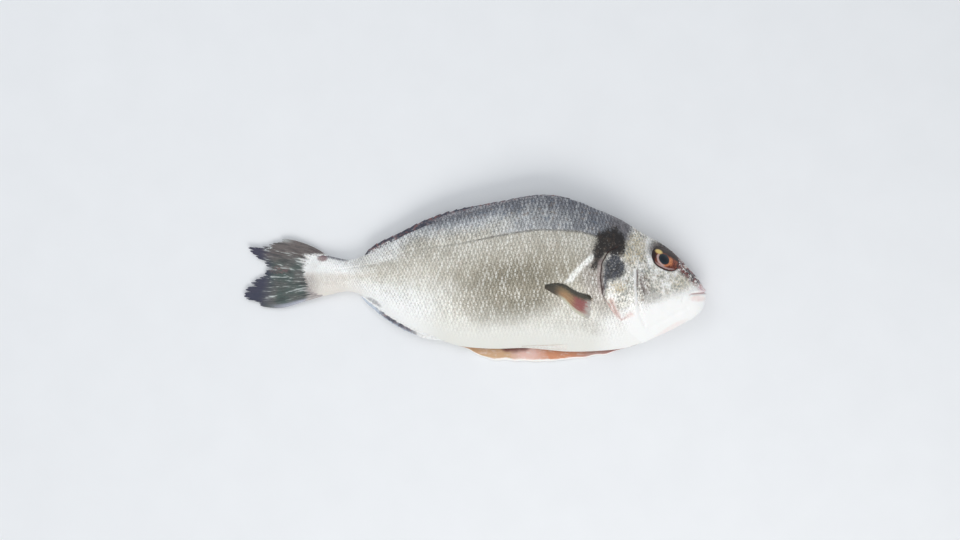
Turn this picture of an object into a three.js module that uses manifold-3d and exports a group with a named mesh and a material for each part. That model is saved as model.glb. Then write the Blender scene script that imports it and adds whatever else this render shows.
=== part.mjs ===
// A gutted gilthead sea bream, whole and uncooked, lying on its left side with its right flank up.
// Millimetres. +X runs from the tail to the snout, +Y from the belly to the back, and +Z up.
// The origin is under the middle of the fish, on the surface that it lies on.
// The fish grew as one piece, so it is one solid: trunk, head, folded fins, eyes and belly flap.
import * as THREE from "three";
import { mergeVertices } from "three/addons/utils/BufferGeometryUtils.js";
import Module from "manifold-3d";

const wasm = await Module();
wasm.setup();

// ---- Driving dimensions ----

const SNOUT_X = 150; // tip of the closed mouth
const TAIL_ROOT_X = -112; // where the fleshy tail stem has thinned into the tail fin
const FIN_THICK = 1.2; // tail fin
const FOLDED_FIN_THICK = 2.4; // dorsal and anal fins, folded down on their rays
const LAID_FIN_THICK = 1.8; // pectoral and pelvic fins, laid against the skin
const LAID_FIN_ROOT = 1.2; // how far they go into the skin that they lie on
const FLAP_THICK = 3; // belly wall beside the cut
const FLAP_ROOT = 10; // how far in from the belly's edge that wall starts

// Outlines seen from above, as [x, y] from the snout to the tail root.
const BACK = [
  [150, -10.5], [148.1, -4.9], [138.7, 7], [127, 18.9], [110, 28.9], [90, 40.6], [64, 51],
  [50, 52.9], [37, 52.2], [-2, 43.4], [-31, 34.9], [-52, 25], [-74, 14], [-83, 12.6],
  [-98, 15.9], [-112, 17.8],
];
const BELLY = [
  [150, -10.5], [149.4, -16], [146.2, -21.6], [134, -29.8], [120, -36.6], [107, -42],
  [97, -45], [80, -46.8], [60, -47.2], [34, -45], [12, -45.4], [-9, -43.6], [-22, -39.6],
  [-37, -33.8], [-52, -25.6], [-66, -16], [-75, -9.8], [-83, -8.2], [-98, -11.2], [-112, -13],
];

// Half the thickness of each cross-section, and the height of its middle plane.
const HALF_THICK = [
  [150, 0], [148, 4.6], [142, 8], [133, 11.2], [121, 14.8], [108, 18], [92, 20.4],
  [70, 21.2], [45, 20.6], [20, 18.6], [-5, 15.6], [-30, 12.2], [-55, 8.8],
  [-75, 6.6], [-92, 5.4], [-103, 3.4], [-112, 1],
];
const MIDDLE_Z = [
  [150, 13.5], [135, 14.5], [121, 16], [108, 17.4], [92, 18.8], [70, 19.3], [45, 18.8],
  [20, 17.4], [-5, 15], [-30, 12], [-55, 8.9], [-75, 6.7], [-92, 5.2], [-112, 3],
  [-130, 1.6], [-150, 0.9],
];
// How far the emptied belly sinks below the middle plane at its lower edge.
const BELLY_SAG = [
  [150, 0], [130, 2], [110, 6], [90, 11], [60, 13], [20, 12], [0, 9], [-20, 5], [-50, 1.5], [-112, 0],
];

const WIDEST_SHARE = 0.55; // height of the thickest line, as a share of the depth from the belly up
const BACK_ROUND = 1.45; // lower is sharper
const BELLY_ROUND = 1.2;
const STEM_ROUND = 1.8; // tail stem and snout, which are nearly oval

// The cut along the belly: the outer edge of the lower flap, and the pocket above it.
const FLAP_EDGE = [
  [99, -44.8], [90, -48.2], [80, -50.2], [68, -51.8], [55, -53.1], [42, -53.9], [30, -53.7],
  [16, -53.2], [8, -52.2], [1, -49.8], [-5, -47.4], [-10, -45.6], [-14, -42.8],
];
const CUT_FRONT_X = 96;
const CUT_REAR_X = -11;
const CUT_DEPTH = 22;
const CUT_GAP = 2.4;
const POCKET_GAP = 7;

// Outer edges of the folded fins and of the tail fin.
const DORSAL_EDGE = [
  [62, 52], [50.6, 54.2], [37.4, 54], [17.5, 50.4], [-9, 45.6], [-22, 42], [-33, 37.8],
  [-52, 28.4], [-61.9, 23.9], [-67.8, 19.8], [-71, 15.8],
];
const ANAL_EDGE = [
  [-20, -40], [-31.9, -38.8], [-45.3, -33.5], [-57.1, -26.5], [-67.3, -18.1], [-73, -12.3],
];
const TAIL_OUTLINE = [
  [-90, 12], [-104.4, 20.6], [-115.5, 24.7], [-124.8, 26.4], [-131, 23.4], [-139.5, 20.8], [-147.4, 20.6],
  [-144.8, 16.5], [-138.6, 10.7], [-135.3, 6.6], [-138.2, 2.1], [-146.3, -2.6], [-150, -7.4],
  [-149.6, -12.4], [-140.6, -15.6], [-139, -18.3], [-125, -18.8], [-112.6, -15.4], [-104.4, -12.9], [-90, -8.8],
];

// Laid fins: an upper and a lower edge, each from the root to the tip.
const PECTORAL_UPPER = [[76, -11], [66, -8.3], [55.6, -2.8], [45.4, -3.4]];
const PECTORAL_LOWER = [[75, -27.2], [64.2, -20.6], [56.8, -13.2], [45, -6]];
const PELVIC_UPPER = [[77, -41], [60, -42.3], [45, -43], [31, -43.6]];
const PELVIC_LOWER = [[77, -45.4], [60, -46.2], [45, -45.4], [31, -44.6]];
const LOWER_PELVIC_INNER = [[74, -42], [60, -45], [45, -47], [27, -49]];
const LOWER_PELVIC_OUTER = [[74, -47], [60, -51], [42, -54.2], [27, -52.6]];

const EYE = { x: 122, y: 12, long: 8.4, tall: 6.4, deep: 4, proud: 0.9 };

// ---- Curves ----

/** A smooth curve y(x) through [x, y] points given from high x to low x. */
function through(points, key = (x) => x) {
  const at = points.map(([x]) => key(x));
  const value = points.map(([, y]) => y);
  const slope = at.map((_, i) => {
    const before = Math.max(0, i - 1);
    const after = Math.min(at.length - 1, i + 1);
    return (value[after] - value[before]) / (at[after] - at[before]);
  });
  const rising = at[1] > at[0];
  return (x) => {
    const place = key(x);
    let i = 0;
    while (i < at.length - 2 && (rising ? place > at[i + 1] : place < at[i + 1])) i += 1;
    const span = at[i + 1] - at[i];
    const t = THREE.MathUtils.clamp((place - at[i]) / span, 0, 1);
    const t2 = t * t;
    const t3 = t2 * t;
    return (
      value[i] * (2 * t3 - 3 * t2 + 1) +
      slope[i] * span * (t3 - 2 * t2 + t) +
      value[i + 1] * (3 * t2 - 2 * t3) +
      slope[i + 1] * span * (t3 - t2)
    );
  };
}

/** Distance behind the snout as a square root, in which the blunt snout is a straight line. */
const fromSnout = (x) => Math.sqrt(Math.max(0, SNOUT_X - x));

const back = through(BACK, fromSnout);
const belly = through(BELLY, fromSnout);
const halfThick = through(HALF_THICK, fromSnout);
const middleZ = through(MIDDLE_Z);
const bellySag = through(BELLY_SAG);
const flapEdge = through(FLAP_EDGE);
const ease = (x, low, high) => THREE.MathUtils.smoothstep(x, low, high);

/** 1 along the trunk, and 0 at the snout and the tail stem. */
const trunkShare = (x) => ease(x, -95, -55) * (1 - ease(x, 125, 148));

// ---- The trunk and head ----

/** The part of the half thickness left at a height across the flank: eta is -1 at the belly, 1 at the back. */
function thicknessShare(x, eta) {
  const keel = eta > 0 ? BACK_ROUND : BELLY_ROUND;
  const power = THREE.MathUtils.lerp(STEM_ROUND, keel, trunkShare(x));
  return Math.max(0, 1 - Math.abs(eta) ** 2.1) ** (1 / power);
}

/** Height of the middle plane at that height across the flank. */
function planeZ(x, eta) {
  return middleZ(x) - bellySag(x) * ease(-eta, 0.1, 1);
}

/** The skin's height over the surface at a point seen from above, on the upper or the lower flank. */
function skinZ(x, y, side = 1) {
  const widest = THREE.MathUtils.lerp(belly(x), back(x), WIDEST_SHARE);
  const reach = y > widest ? back(x) - widest : widest - belly(x);
  const eta = THREE.MathUtils.clamp((y - widest) / Math.max(reach, 1e-6), -1, 1);
  const z = planeZ(x, eta) + side * halfThick(x) * thicknessShare(x, eta);
  return Math.max(0, z);
}

/** Point on the cross-section at x, at an angle round it that starts at the belly and goes up the upper flank. */
function skinPoint(x, turn) {
  const side = turn < 0.5 ? 1 : -1;
  const angle = (side > 0 ? turn * 2 : 2 - turn * 2) * Math.PI - Math.PI / 2;
  const eta = Math.sin(angle);
  const widest = THREE.MathUtils.lerp(belly(x), back(x), WIDEST_SHARE);
  const y = widest + eta * (eta > 0 ? back(x) - widest : widest - belly(x));
  const z = planeZ(x, eta) + side * halfThick(x) * thicknessShare(x, eta);
  return [x, y, Math.max(0, z)];
}

/** A BufferGeometry from points and triangles. */
function geometryOf(points, triangles) {
  const geometry = new THREE.BufferGeometry();
  geometry.setAttribute("position", new THREE.Float32BufferAttribute(points.flat(), 3));
  geometry.setIndex(triangles.flat());
  return geometry;
}

/** Rings of skin from the snout to the tail root, closed by a point at the snout and a fan at the root. */
function trunkGeometry(rings = 54, around = 32) {
  const points = [[SNOUT_X, belly(SNOUT_X), middleZ(SNOUT_X)]];
  const reach = fromSnout(TAIL_ROOT_X);
  for (let i = 1; i <= rings; i += 1) {
    const x = SNOUT_X - (reach * (i / rings)) ** 2;
    for (let j = 0; j < around; j += 1) points.push(skinPoint(x, j / around));
  }
  const root = points.push([TAIL_ROOT_X, (back(TAIL_ROOT_X) + belly(TAIL_ROOT_X)) / 2, middleZ(TAIL_ROOT_X)]) - 1;
  const at = (i, j) => 1 + i * around + (j % around);
  const triangles = [];
  for (let j = 0; j < around; j += 1) {
    triangles.push([0, at(0, j + 1), at(0, j)]);
    triangles.push([root, at(rings - 1, j), at(rings - 1, j + 1)]);
    for (let i = 0; i < rings - 1; i += 1) {
      triangles.push([at(i, j), at(i, j + 1), at(i + 1, j)]);
      triangles.push([at(i, j + 1), at(i + 1, j + 1), at(i + 1, j)]);
    }
  }
  return geometryOf(points, triangles);
}

// ---- Thin pieces ----

/** A closed slab between a lower and an upper sheet, each a function of (u, v) from 0 to 1. */
function slabGeometry(upper, lower, across, along) {
  const points = [];
  const rows = across + 1;
  for (const sheet of [upper, lower]) {
    for (let i = 0; i <= along; i += 1) {
      for (let j = 0; j < rows; j += 1) points.push(sheet(i / along, j / across));
    }
  }
  const half = (along + 1) * rows;
  const at = (i, j, layer) => layer * half + i * rows + j;
  const triangles = [];
  const quad = (a, b, c, d) => triangles.push([a, b, c], [a, c, d]);
  for (let i = 0; i < along; i += 1) {
    for (let j = 0; j < across; j += 1) {
      quad(at(i, j, 0), at(i + 1, j, 0), at(i + 1, j + 1, 0), at(i, j + 1, 0));
      quad(at(i, j, 1), at(i, j + 1, 1), at(i + 1, j + 1, 1), at(i + 1, j, 1));
    }
    quad(at(i, 0, 0), at(i, 0, 1), at(i + 1, 0, 1), at(i + 1, 0, 0));
    quad(at(i, across, 0), at(i + 1, across, 0), at(i + 1, across, 1), at(i, across, 1));
  }
  for (let j = 0; j < across; j += 1) {
    quad(at(0, j, 0), at(0, j + 1, 0), at(0, j + 1, 1), at(0, j, 1));
    quad(at(along, j, 0), at(along, j, 1), at(along, j + 1, 1), at(along, j + 1, 0));
  }
  return geometryOf(points, triangles);
}

/** A fin outline of even thickness, bent to follow the middle plane of the fish. */
function bentPlate(outline, thick) {
  const shape = new THREE.Shape(outline.map(([x, y]) => new THREE.Vector2(x, y)));
  const geometry = new THREE.ExtrudeGeometry(shape, { depth: thick, bevelEnabled: false, steps: 1 });
  const places = geometry.getAttribute("position");
  for (let i = 0; i < places.count; i += 1) {
    const lift = middleZ(places.getX(i)) - thick / 2;
    places.setZ(i, places.getZ(i) + Math.max(0.2, lift));
  }
  return geometry;
}

/** A fin folded down along the back or the belly: a strip from just inside the skin to the fin's edge. */
function foldedFin(edgePoints, skinLine, inward, steps = 20) {
  const edge = through(edgePoints);
  const first = edgePoints[0][0];
  const last = edgePoints[edgePoints.length - 1][0];
  const outer = [];
  const inner = [];
  for (let i = 0; i <= steps; i += 1) {
    const x = THREE.MathUtils.lerp(first, last, i / steps);
    outer.push([x, edge(x)]);
    inner.unshift([x, skinLine(x) - inward]);
  }
  return bentPlate([...outer, ...inner], FOLDED_FIN_THICK);
}

/** A fin laid on the skin, between its two edges. */
function laidFin(upperEdge, lowerEdge, height, along = 10, across = 4) {
  const points = (list) => new THREE.SplineCurve(list.map(([x, y]) => new THREE.Vector2(x, y)));
  const top = points(upperEdge);
  const low = points(lowerEdge);
  const spot = (u, v) => top.getPoint(u).lerp(low.getPoint(u), v);
  const sheet = (rise) => (u, v) => {
    const { x, y } = spot(u, v);
    return [x, y, height(x, y) + rise];
  };
  return slabGeometry(sheet(LAID_FIN_THICK), sheet(-LAID_FIN_ROOT), across, along);
}

/** The lower belly wall, which lies on the surface and reaches out past the upper one. */
function flapGeometry(along = 22, across = 3) {
  const first = FLAP_EDGE[0][0];
  const last = FLAP_EDGE[FLAP_EDGE.length - 1][0];
  const sheet = (z) => (u, v) => {
    const x = THREE.MathUtils.lerp(first, last, u);
    return [x, THREE.MathUtils.lerp(belly(x) + FLAP_ROOT, flapEdge(x), v), z(u, v)];
  };
  const taper = (u) => 0.3 + 0.7 * Math.sqrt(Math.max(0, Math.sin(Math.PI * u)));
  const top = (u, v) => (FLAP_THICK - 0.8 * v * v) * taper(u);
  return slabGeometry(sheet(top), sheet(() => 0), across, along);
}

/** The space that the cut opens above the flap, widest in the middle of its length and inside the lip. */
function pocketGeometry(along = 18, across = 5) {
  const opening = (u) => Math.sin(Math.PI * THREE.MathUtils.clamp(u, 0.02, 0.98)) ** 0.6;
  const gap = (u, v) => 0.3 + opening(u) * (v < 0.5 ? POCKET_GAP * Math.sin(Math.PI * Math.max(v, 0.04)) : 0);
  const sheet = (isTop) => (u, v) => {
    const x = THREE.MathUtils.lerp(CUT_FRONT_X, CUT_REAR_X, u);
    const y = THREE.MathUtils.lerp(belly(x) + CUT_DEPTH * opening(u), belly(x) - 8, v);
    const base = FLAP_THICK + 0.35;
    return [x, y, isTop ? base + Math.max(gap(u, v), 0.3 + CUT_GAP * opening(u) * ease(v, 0, 0.4)) : base];
  };
  return slabGeometry(sheet(true), sheet(false), across, along);
}

/** An eye that stands a little proud of the head. */
function eyeGeometry(side) {
  const geometry = new THREE.SphereGeometry(1, 18, 12);
  geometry.scale(EYE.long, EYE.tall, EYE.deep);
  const z = skinZ(EYE.x, EYE.y, side) + side * (EYE.proud - EYE.deep);
  geometry.translate(EYE.x, EYE.y, z);
  return geometry;
}

// ---- Joining ----

/** A closed geometry as a manifold-3d solid. */
function solidOf(geometry) {
  const bare = new THREE.BufferGeometry();
  bare.setAttribute("position", geometry.getAttribute("position"));
  if (geometry.index) bare.setIndex(geometry.index);
  const merged = mergeVertices(bare, 1e-4);
  const solid = new wasm.Manifold(
    new wasm.Mesh({
      numProp: 3,
      vertProperties: new Float32Array(merged.getAttribute("position").array),
      triVerts: new Uint32Array(merged.index.array),
    }),
  );
  if (solid.volume() < 0) throw new Error("a piece is inside out");
  return solid;
}

/** A manifold-3d solid as a geometry. */
function geometryFrom(solid) {
  const mesh = solid.getMesh();
  const geometry = new THREE.BufferGeometry();
  geometry.setAttribute("position", new THREE.Float32BufferAttribute(mesh.vertProperties, 3));
  geometry.setIndex(new THREE.Uint32BufferAttribute(mesh.triVerts, 1));
  geometry.computeVertexNormals();
  return geometry;
}

function wholeFish() {
  const upperSkin = (x, y) => skinZ(x, y, 1);
  const onSurface = () => LAID_FIN_ROOT;
  const pieces = [
    flapGeometry(),
    bentPlate(TAIL_OUTLINE, FIN_THICK),
    foldedFin(DORSAL_EDGE, back, 5),
    foldedFin(ANAL_EDGE, belly, -5),
    laidFin(PECTORAL_UPPER, PECTORAL_LOWER, upperSkin),
    laidFin(PELVIC_UPPER, PELVIC_LOWER, upperSkin),
    laidFin(LOWER_PELVIC_INNER, LOWER_PELVIC_OUTER, onSurface),
    eyeGeometry(1),
    eyeGeometry(-1),
  ];
  let fish = solidOf(trunkGeometry());
  for (const piece of pieces) fish = fish.add(solidOf(piece));
  return fish.subtract(solidOf(pocketGeometry()));
}

const skin = new THREE.MeshStandardMaterial({ color: 0xb4b2a6, roughness: 0.35, metalness: 0.1 });
const fish = new THREE.Mesh(geometryFrom(wholeFish()), skin);
fish.name = "sea_bream";

const seaBream = new THREE.Group();
seaBream.add(fish);

export default seaBream;
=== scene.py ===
"""Builds the looks of a gutted gilthead bream, lying on its left side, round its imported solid.

The skin is two meshes, body and head, whose gill covers lie over the body as they do on the fish.
The fins, the eyes and the cut belly are shaped on the same outlines. Shapes are worked out in
millimetres, seen from above: x runs from the tail to the snout, y from the belly to the back, and z
up from the surface that the fish lies on.
"""

import math

import bmesh
import bpy
import numpy as np
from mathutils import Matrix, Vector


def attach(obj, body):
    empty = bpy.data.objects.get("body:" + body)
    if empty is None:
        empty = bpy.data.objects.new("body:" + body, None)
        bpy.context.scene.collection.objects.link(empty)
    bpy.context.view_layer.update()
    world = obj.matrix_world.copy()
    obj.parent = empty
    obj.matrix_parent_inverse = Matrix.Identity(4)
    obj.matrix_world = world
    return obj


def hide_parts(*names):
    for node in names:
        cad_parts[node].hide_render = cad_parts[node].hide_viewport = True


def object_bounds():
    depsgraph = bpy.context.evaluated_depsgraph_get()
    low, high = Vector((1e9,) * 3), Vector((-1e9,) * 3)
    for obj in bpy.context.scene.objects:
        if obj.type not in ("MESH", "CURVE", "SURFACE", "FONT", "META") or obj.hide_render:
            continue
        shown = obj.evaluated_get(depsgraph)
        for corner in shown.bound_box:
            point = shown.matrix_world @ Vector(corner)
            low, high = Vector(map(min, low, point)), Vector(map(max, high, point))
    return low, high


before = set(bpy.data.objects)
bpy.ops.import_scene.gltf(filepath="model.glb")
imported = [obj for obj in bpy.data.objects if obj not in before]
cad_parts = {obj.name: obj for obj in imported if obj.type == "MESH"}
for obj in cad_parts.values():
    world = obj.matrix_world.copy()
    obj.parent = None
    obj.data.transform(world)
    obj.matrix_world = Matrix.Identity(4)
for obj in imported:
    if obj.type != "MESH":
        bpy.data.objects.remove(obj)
SOLID_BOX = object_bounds()

bl_info = {
    "name": "Sea bream",
    "version": (1, 0, 0),
    "blender": (4, 5, 0),
    "location": "View3D > Sidebar > Sea bream",
    "description": "Skin, scales, fins, eyes and cut belly of a whole gilthead bream",
    "category": "Add Mesh",
}

MM = 0.001
NODE = "sea_bream"
BODY = "root"

# ---- Outlines, the same as the solid's, from the snout to the tail ----

SNOUT_X = 150
TAIL_ROOT_X = -112
BACK = [
    (150, -10.5), (148.1, -4.9), (138.7, 7), (127, 18.9), (110, 28.9), (90, 40.6), (64, 51),
    (50, 52.9), (37, 52.2), (-2, 43.4), (-31, 34.9), (-52, 25), (-74, 14), (-83, 12.6),
    (-98, 15.9), (-112, 17.8),
]
BELLY = [
    (150, -10.5), (149.4, -16), (146.2, -21.6), (134, -29.8), (120, -36.6), (107, -42),
    (97, -45), (80, -46.8), (60, -47.2), (34, -45), (12, -45.4), (-9, -43.6), (-22, -39.6),
    (-37, -33.8), (-52, -25.6), (-66, -16), (-75, -9.8), (-83, -8.2), (-98, -11.2),
    (-112, -13),
]
HALF_THICK = [
    (150, 0), (148, 4.6), (142, 8), (133, 11.2), (121, 14.8), (108, 18), (92, 20.4),
    (70, 21.2), (45, 20.6), (20, 18.6), (-5, 15.6), (-30, 12.2), (-55, 8.8),
    (-75, 6.6), (-92, 5.4), (-103, 3.4), (-112, 1),
]
MIDDLE_Z = [
    (150, 13.5), (135, 14.5), (121, 16), (108, 17.4), (92, 18.8), (70, 19.3), (45, 18.8),
    (20, 17.4), (-5, 15), (-30, 12), (-55, 8.9), (-75, 6.7), (-92, 5.2), (-112, 3),
    (-130, 1.6), (-150, 0.9),
]
BELLY_SAG = [
    (150, 0), (130, 2), (110, 6), (90, 11), (60, 13), (20, 12), (0, 9), (-20, 5), (-50, 1.5),
    (-112, 0),
]
WIDEST_SHARE = 0.55
SECTION_POWER = 2.1  # how square the fish's cross-section is
BACK_ROUND = 1.45
BELLY_ROUND = 1.2
STEM_ROUND = 1.8
EVEN_TURNS = 0.28  # how evenly the columns of the mesh are spread across the flank

FLAP_EDGE = [
    (99, -44.8), (90, -48.2), (80, -50.2), (68, -51.8), (55, -53.1), (42, -53.9), (30, -53.7),
    (16, -53.2), (8, -52.2), (1, -49.8), (-5, -47.4), (-10, -45.6), (-14, -42.8),
]
CUT_FRONT_X = 106
CUT_REAR_X = -12

DORSAL_EDGE = [
    (62, 52), (50.6, 54.2), (37.4, 54), (17.5, 50.4), (-9, 45.6), (-22, 42), (-33, 37.8),
    (-52, 28.4), (-61.9, 23.9), (-67.8, 19.8), (-71, 15.8),
]
ANAL_EDGE = [
    (-20, -40), (-31.9, -38.8), (-45.3, -33.5), (-57.1, -26.5), (-67.3, -18.1), (-73, -12.3),
]
TAIL_TOP = [(-90, 12), (-104.4, 20.6), (-115.5, 24.7), (-124.8, 26.4)]
TAIL_REAR = [
    (-124.8, 26.4), (-131, 23.4), (-139.5, 20.8), (-147.4, 20.6), (-144.8, 16.5), (-138.6, 10.7),
    (-135.3, 6.6), (-138.2, 2.1), (-146.3, -2.6), (-150, -7.4), (-149.6, -12.4),
    (-140.6, -15.6), (-139, -18.3),
]
TAIL_LOW = [(-90, -8.8), (-104.4, -12.9), (-112.6, -15.4), (-125, -18.8), (-139, -18.3)]

# Fins laid against the fish: two edges each, from the root to the tip.
PECTORAL = (
    [(76, -11), (66, -8.3), (55.6, -2.8), (45.4, -3.4)],
    [(75, -27.2), (64.2, -20.6), (56.8, -13.2), (45, -6)],
)
PELVIC = (
    [(77, -41), (60, -42.3), (45, -43), (31, -43.6)],
    [(77, -45.4), (60, -46.2), (45, -45.4), (31, -44.6)],
)
LOW_PELVIC = (
    [(74, -42), (60, -45), (45, -47), (27, -49)],
    [(74, -47), (60, -51), (42, -54.2), (27, -52.6)],
)

# ---- Features of the head and flank ----

GILL_EDGE = [
    (94, 44), (94, 30), (92, 20), (86, 17), (82, 10), (81, 0), (82.5, -10), (87, -17),
    (93.5, -26), (100, -34), (108, -40.4),
]
GILL_X = 88
PREOPERCLE = [(104.2, 5.5), (104.2, -4), (105, -14), (106.6, -23), (110, -30)]
SECOND_GROOVE = [(106.6, 0), (107.4, -4), (109, -8)]
GILL_BRANCH = [(87, -13.6), (91.2, -21.6), (94.4, -26.3), (100.5, -22.6)]
LIP_FOLD = [(139.5, -7.2), (135.5, -9.5), (133.8, -14)]
JAW_FOLD = [(137, -19), (124, -25.5), (113, -31.5)]
MOUTH = [(151, -8.6), (146, -9.2), (140, -9.6), (138.4, -10.4)]
LATERAL_LINE = [
    (92, 25), (78.2, 27.5), (67.1, 30.1), (47.2, 31.5), (34.8, 30.8), (14.2, 27.5),
    (-7.5, 23.1), (-40.9, 18.3), (-57.1, 11.4), (-80.2, 7.2), (-103.5, 4.9), (-112, 4.4),
]
NAPE_PATCH = [
    (84, 31.5), (91, 33), (95, 28), (96, 22), (94.5, 16), (90, 15.5), (84.5, 15.5), (80.5, 10.5),
    (76.5, 6.5), (74, 8), (75.8, 14), (76.2, 21), (79.5, 27.5),
]
COVER_PATCH = [
    (82.4, 10.5), (86, 14.5), (91, 14.5), (95.5, 9), (95.7, 5), (93, 1.6), (89, -0.6), (85, -1.5),
    (83.6, -5), (82, -7),
]
EYE_AT = (123, 13)
EYE_LONG = 10
EYE_TALL = 7.9
EYE_TILT = -7
EYE_DEEP = 1.2
EYE_POWER = 2.2
EYEBALL_POWER = 2.3
EYEBALL_SHARE = 1.02
PUPIL_OFFSET = (-1.5, -1.3)
NOSTRILS = [(135.6, 3.4, 1.5, 0.75), (138.9, 0.6, 0.7, 0.6)]


# ---- Curves ----


def lerp(a, b, share):
    return a + (b - a) * share


def ease(x, low, high):
    """0 below low, 1 above high, and smooth between."""
    t = np.clip((np.asarray(x, float) - low) / (high - low), 0, 1)
    return t * t * (3 - 2 * t)


def through(points, key=lambda x: x):
    """A smooth curve y(x) through (x, y) points given from high x to low x. It takes arrays."""
    at = np.array([key(x) for x, _ in points], float)
    value = np.array([y for _, y in points], float)
    count = np.arange(len(at))
    before, after = np.maximum(count - 1, 0), np.minimum(count + 1, len(at) - 1)
    slope = (value[after] - value[before]) / (at[after] - at[before])
    order = 1 if at[1] > at[0] else -1

    def curve(x):
        place = key(np.asarray(x, float))
        i = np.clip(np.searchsorted(order * at, order * place) - 1, 0, len(at) - 2)
        span = at[i + 1] - at[i]
        t = np.clip((place - at[i]) / span, 0, 1)
        t2, t3 = t * t, t * t * t
        return (
            value[i] * (2 * t3 - 3 * t2 + 1)
            + slope[i] * span * (t3 - 2 * t2 + t)
            + value[i + 1] * (3 * t2 - 2 * t3)
            + slope[i + 1] * span * (t3 - t2)
        )

    return curve


def spline(points, t):
    """Points at shares t of the length of a smooth line through (x, y) points."""
    places = np.array(points, float)
    steps = np.linalg.norm(np.diff(places, axis=0), axis=1)
    at = np.concatenate([[0], np.cumsum(steps)]) / steps.sum()
    back_to_front = [list(zip(-at, places[:, k])) for k in (0, 1)]
    return np.stack([through(line)(-np.asarray(t, float)) for line in back_to_front], -1)


def from_snout(x):
    """Distance behind the snout as a square root, in which the blunt snout is a straight line."""
    return np.sqrt(np.maximum(0, SNOUT_X - x))


def distance(x, y, line):
    """Distance from each spot to a bent line."""
    best = np.full(np.shape(x), np.inf)
    for (ax, ay), (bx, by) in zip(line, line[1:]):
        dx, dy = bx - ax, by - ay
        t = np.clip(((x - ax) * dx + (y - ay) * dy) / (dx * dx + dy * dy), 0, 1)
        best = np.minimum(best, np.hypot(x - ax - t * dx, y - ay - t * dy))
    return best


def inside(x, y, outline):
    """Distance to a closed outline, which is positive inside it."""
    odd = np.zeros(np.shape(x), bool)
    for (ax, ay), (bx, by) in zip(outline, outline[1:] + outline[:1]):
        if ay != by:
            odd ^= ((ay > y) != (by > y)) & (x < (bx - ax) * (y - ay) / (by - ay) + ax)
    return np.where(odd, 1, -1) * distance(x, y, outline + outline[:1])


def hump(away, width):
    """1 at no distance away, fading to 0 within about twice the width."""
    return np.exp(-((away / width) ** 2))


def ripple(x, y, size, seed=0):
    """Smooth unevenness from about -1 to 1, with waves of about that size."""
    turn = 2 * np.pi / size
    total = 0
    for k in range(4):
        angle = 1.3 * seed + 2.4 * k + 0.7
        along = x * math.cos(angle) + y * math.sin(angle)
        total = total + np.sin(along * turn * (0.8 + 0.23 * k) + 5.1 * k + 2.7 * seed)
    return total / 2.6


back = through(BACK, from_snout)
belly = through(BELLY, from_snout)
half_thick = through(HALF_THICK, from_snout)
middle_z = through(MIDDLE_Z)
belly_sag = through(BELLY_SAG)
flap_edge = through(FLAP_EDGE)
lateral_line = through(LATERAL_LINE)


# ---- The closed skin that body and head share ----


def thickness_share(x, eta):
    trunk = ease(x, -95, -55) * (1 - ease(x, 125, 148))
    power = lerp(STEM_ROUND, np.where(eta > 0, BACK_ROUND, BELLY_ROUND), trunk)
    return np.maximum(0, 1 - np.abs(eta) ** SECTION_POWER) ** (1 / power)


def plane_z(x, eta):
    """Height of the middle plane, which sags towards the emptied belly."""
    return middle_z(x) - belly_sag(x) * ease(-eta, 0.1, 1)


def keel_z(x):
    return plane_z(x, -1)


def widest(x):
    return lerp(belly(x), back(x), WIDEST_SHARE)


def y_of(x, eta):
    middle = widest(x)
    return middle + eta * np.where(eta > 0, back(x) - middle, middle - belly(x))


def eta_of(x, y):
    """The share of the way across the flank: -1 at the belly, 1 at the back."""
    middle = widest(x)
    reach = np.where(y > middle, back(x) - middle, middle - belly(x))
    return np.clip((y - middle) / np.maximum(reach, 1e-6), -1, 1)


def skin_z(x, y, side=1):
    eta = eta_of(x, y)
    return np.maximum(0, plane_z(x, eta) + side * half_thick(x) * thickness_share(x, eta))


def eta_at(turn):
    """Share of the way across the flank at a turn round the section, from the belly up and back under."""
    way = 1 - np.abs(1 - 2 * np.mod(turn, 1))
    level = 2 * way - 1
    return lerp(np.sin(np.pi / 2 * level), level, EVEN_TURNS)


def skin_point(x, turn):
    eta = eta_at(turn)
    side = np.where(np.mod(turn, 1) < 0.5, 1, -1)
    z = plane_z(x, eta) + side * half_thick(x) * thickness_share(x, eta)
    return np.stack([x + 0 * eta, y_of(x, eta), np.maximum(0, z)], -1)


def skin_normal(x, turn, step=0.3, swing=0.004):
    """The outward direction of the closed skin."""
    ahead = np.minimum(x + step, SNOUT_X - 0.05)
    along = skin_point(ahead, turn) - skin_point(ahead - 2 * step, turn)
    around = skin_point(x, turn + swing) - skin_point(x, turn - swing)
    normal = np.cross(along, around)
    length = np.linalg.norm(normal, axis=-1, keepdims=True)
    return normal / np.maximum(length, 1e-9)


# ---- Scales ----

SCALE_BULGE = 0.95
SCALE_STATIONS = 1200
FIRST_ROW = 40  # the row at the lateral line, so that no row below it is negative
FULL_DEPTH_X = 20


def pitch_at(x):
    """Length of a scale that shows, which shortens towards the tail stem and the head."""
    size = bpy.context.scene.bream_sizes.scale_pitch / MM
    return size * lerp(0.62, 1, ease(x, -100, -20)) * lerp(1, 0.72, ease(x, 70, 120))


def scale_place(x, y):
    """Scale coordinates: how many scales along, and which row above or below the lateral line."""
    stations = np.linspace(TAIL_ROOT_X - 5, SNOUT_X, SCALE_STATIONS)
    along = np.concatenate([[0], np.cumsum(np.diff(stations) / pitch_at(stations[1:]))])
    depth = (back(x) - belly(x)) / (back(FULL_DEPTH_X) - belly(FULL_DEPTH_X))
    row = bpy.context.scene.bream_sizes.scale_row / MM * np.clip(depth, 0.42, 1.02)
    return np.interp(x, stations, along), (y - lateral_line(x)) / row + FIRST_ROW


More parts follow.
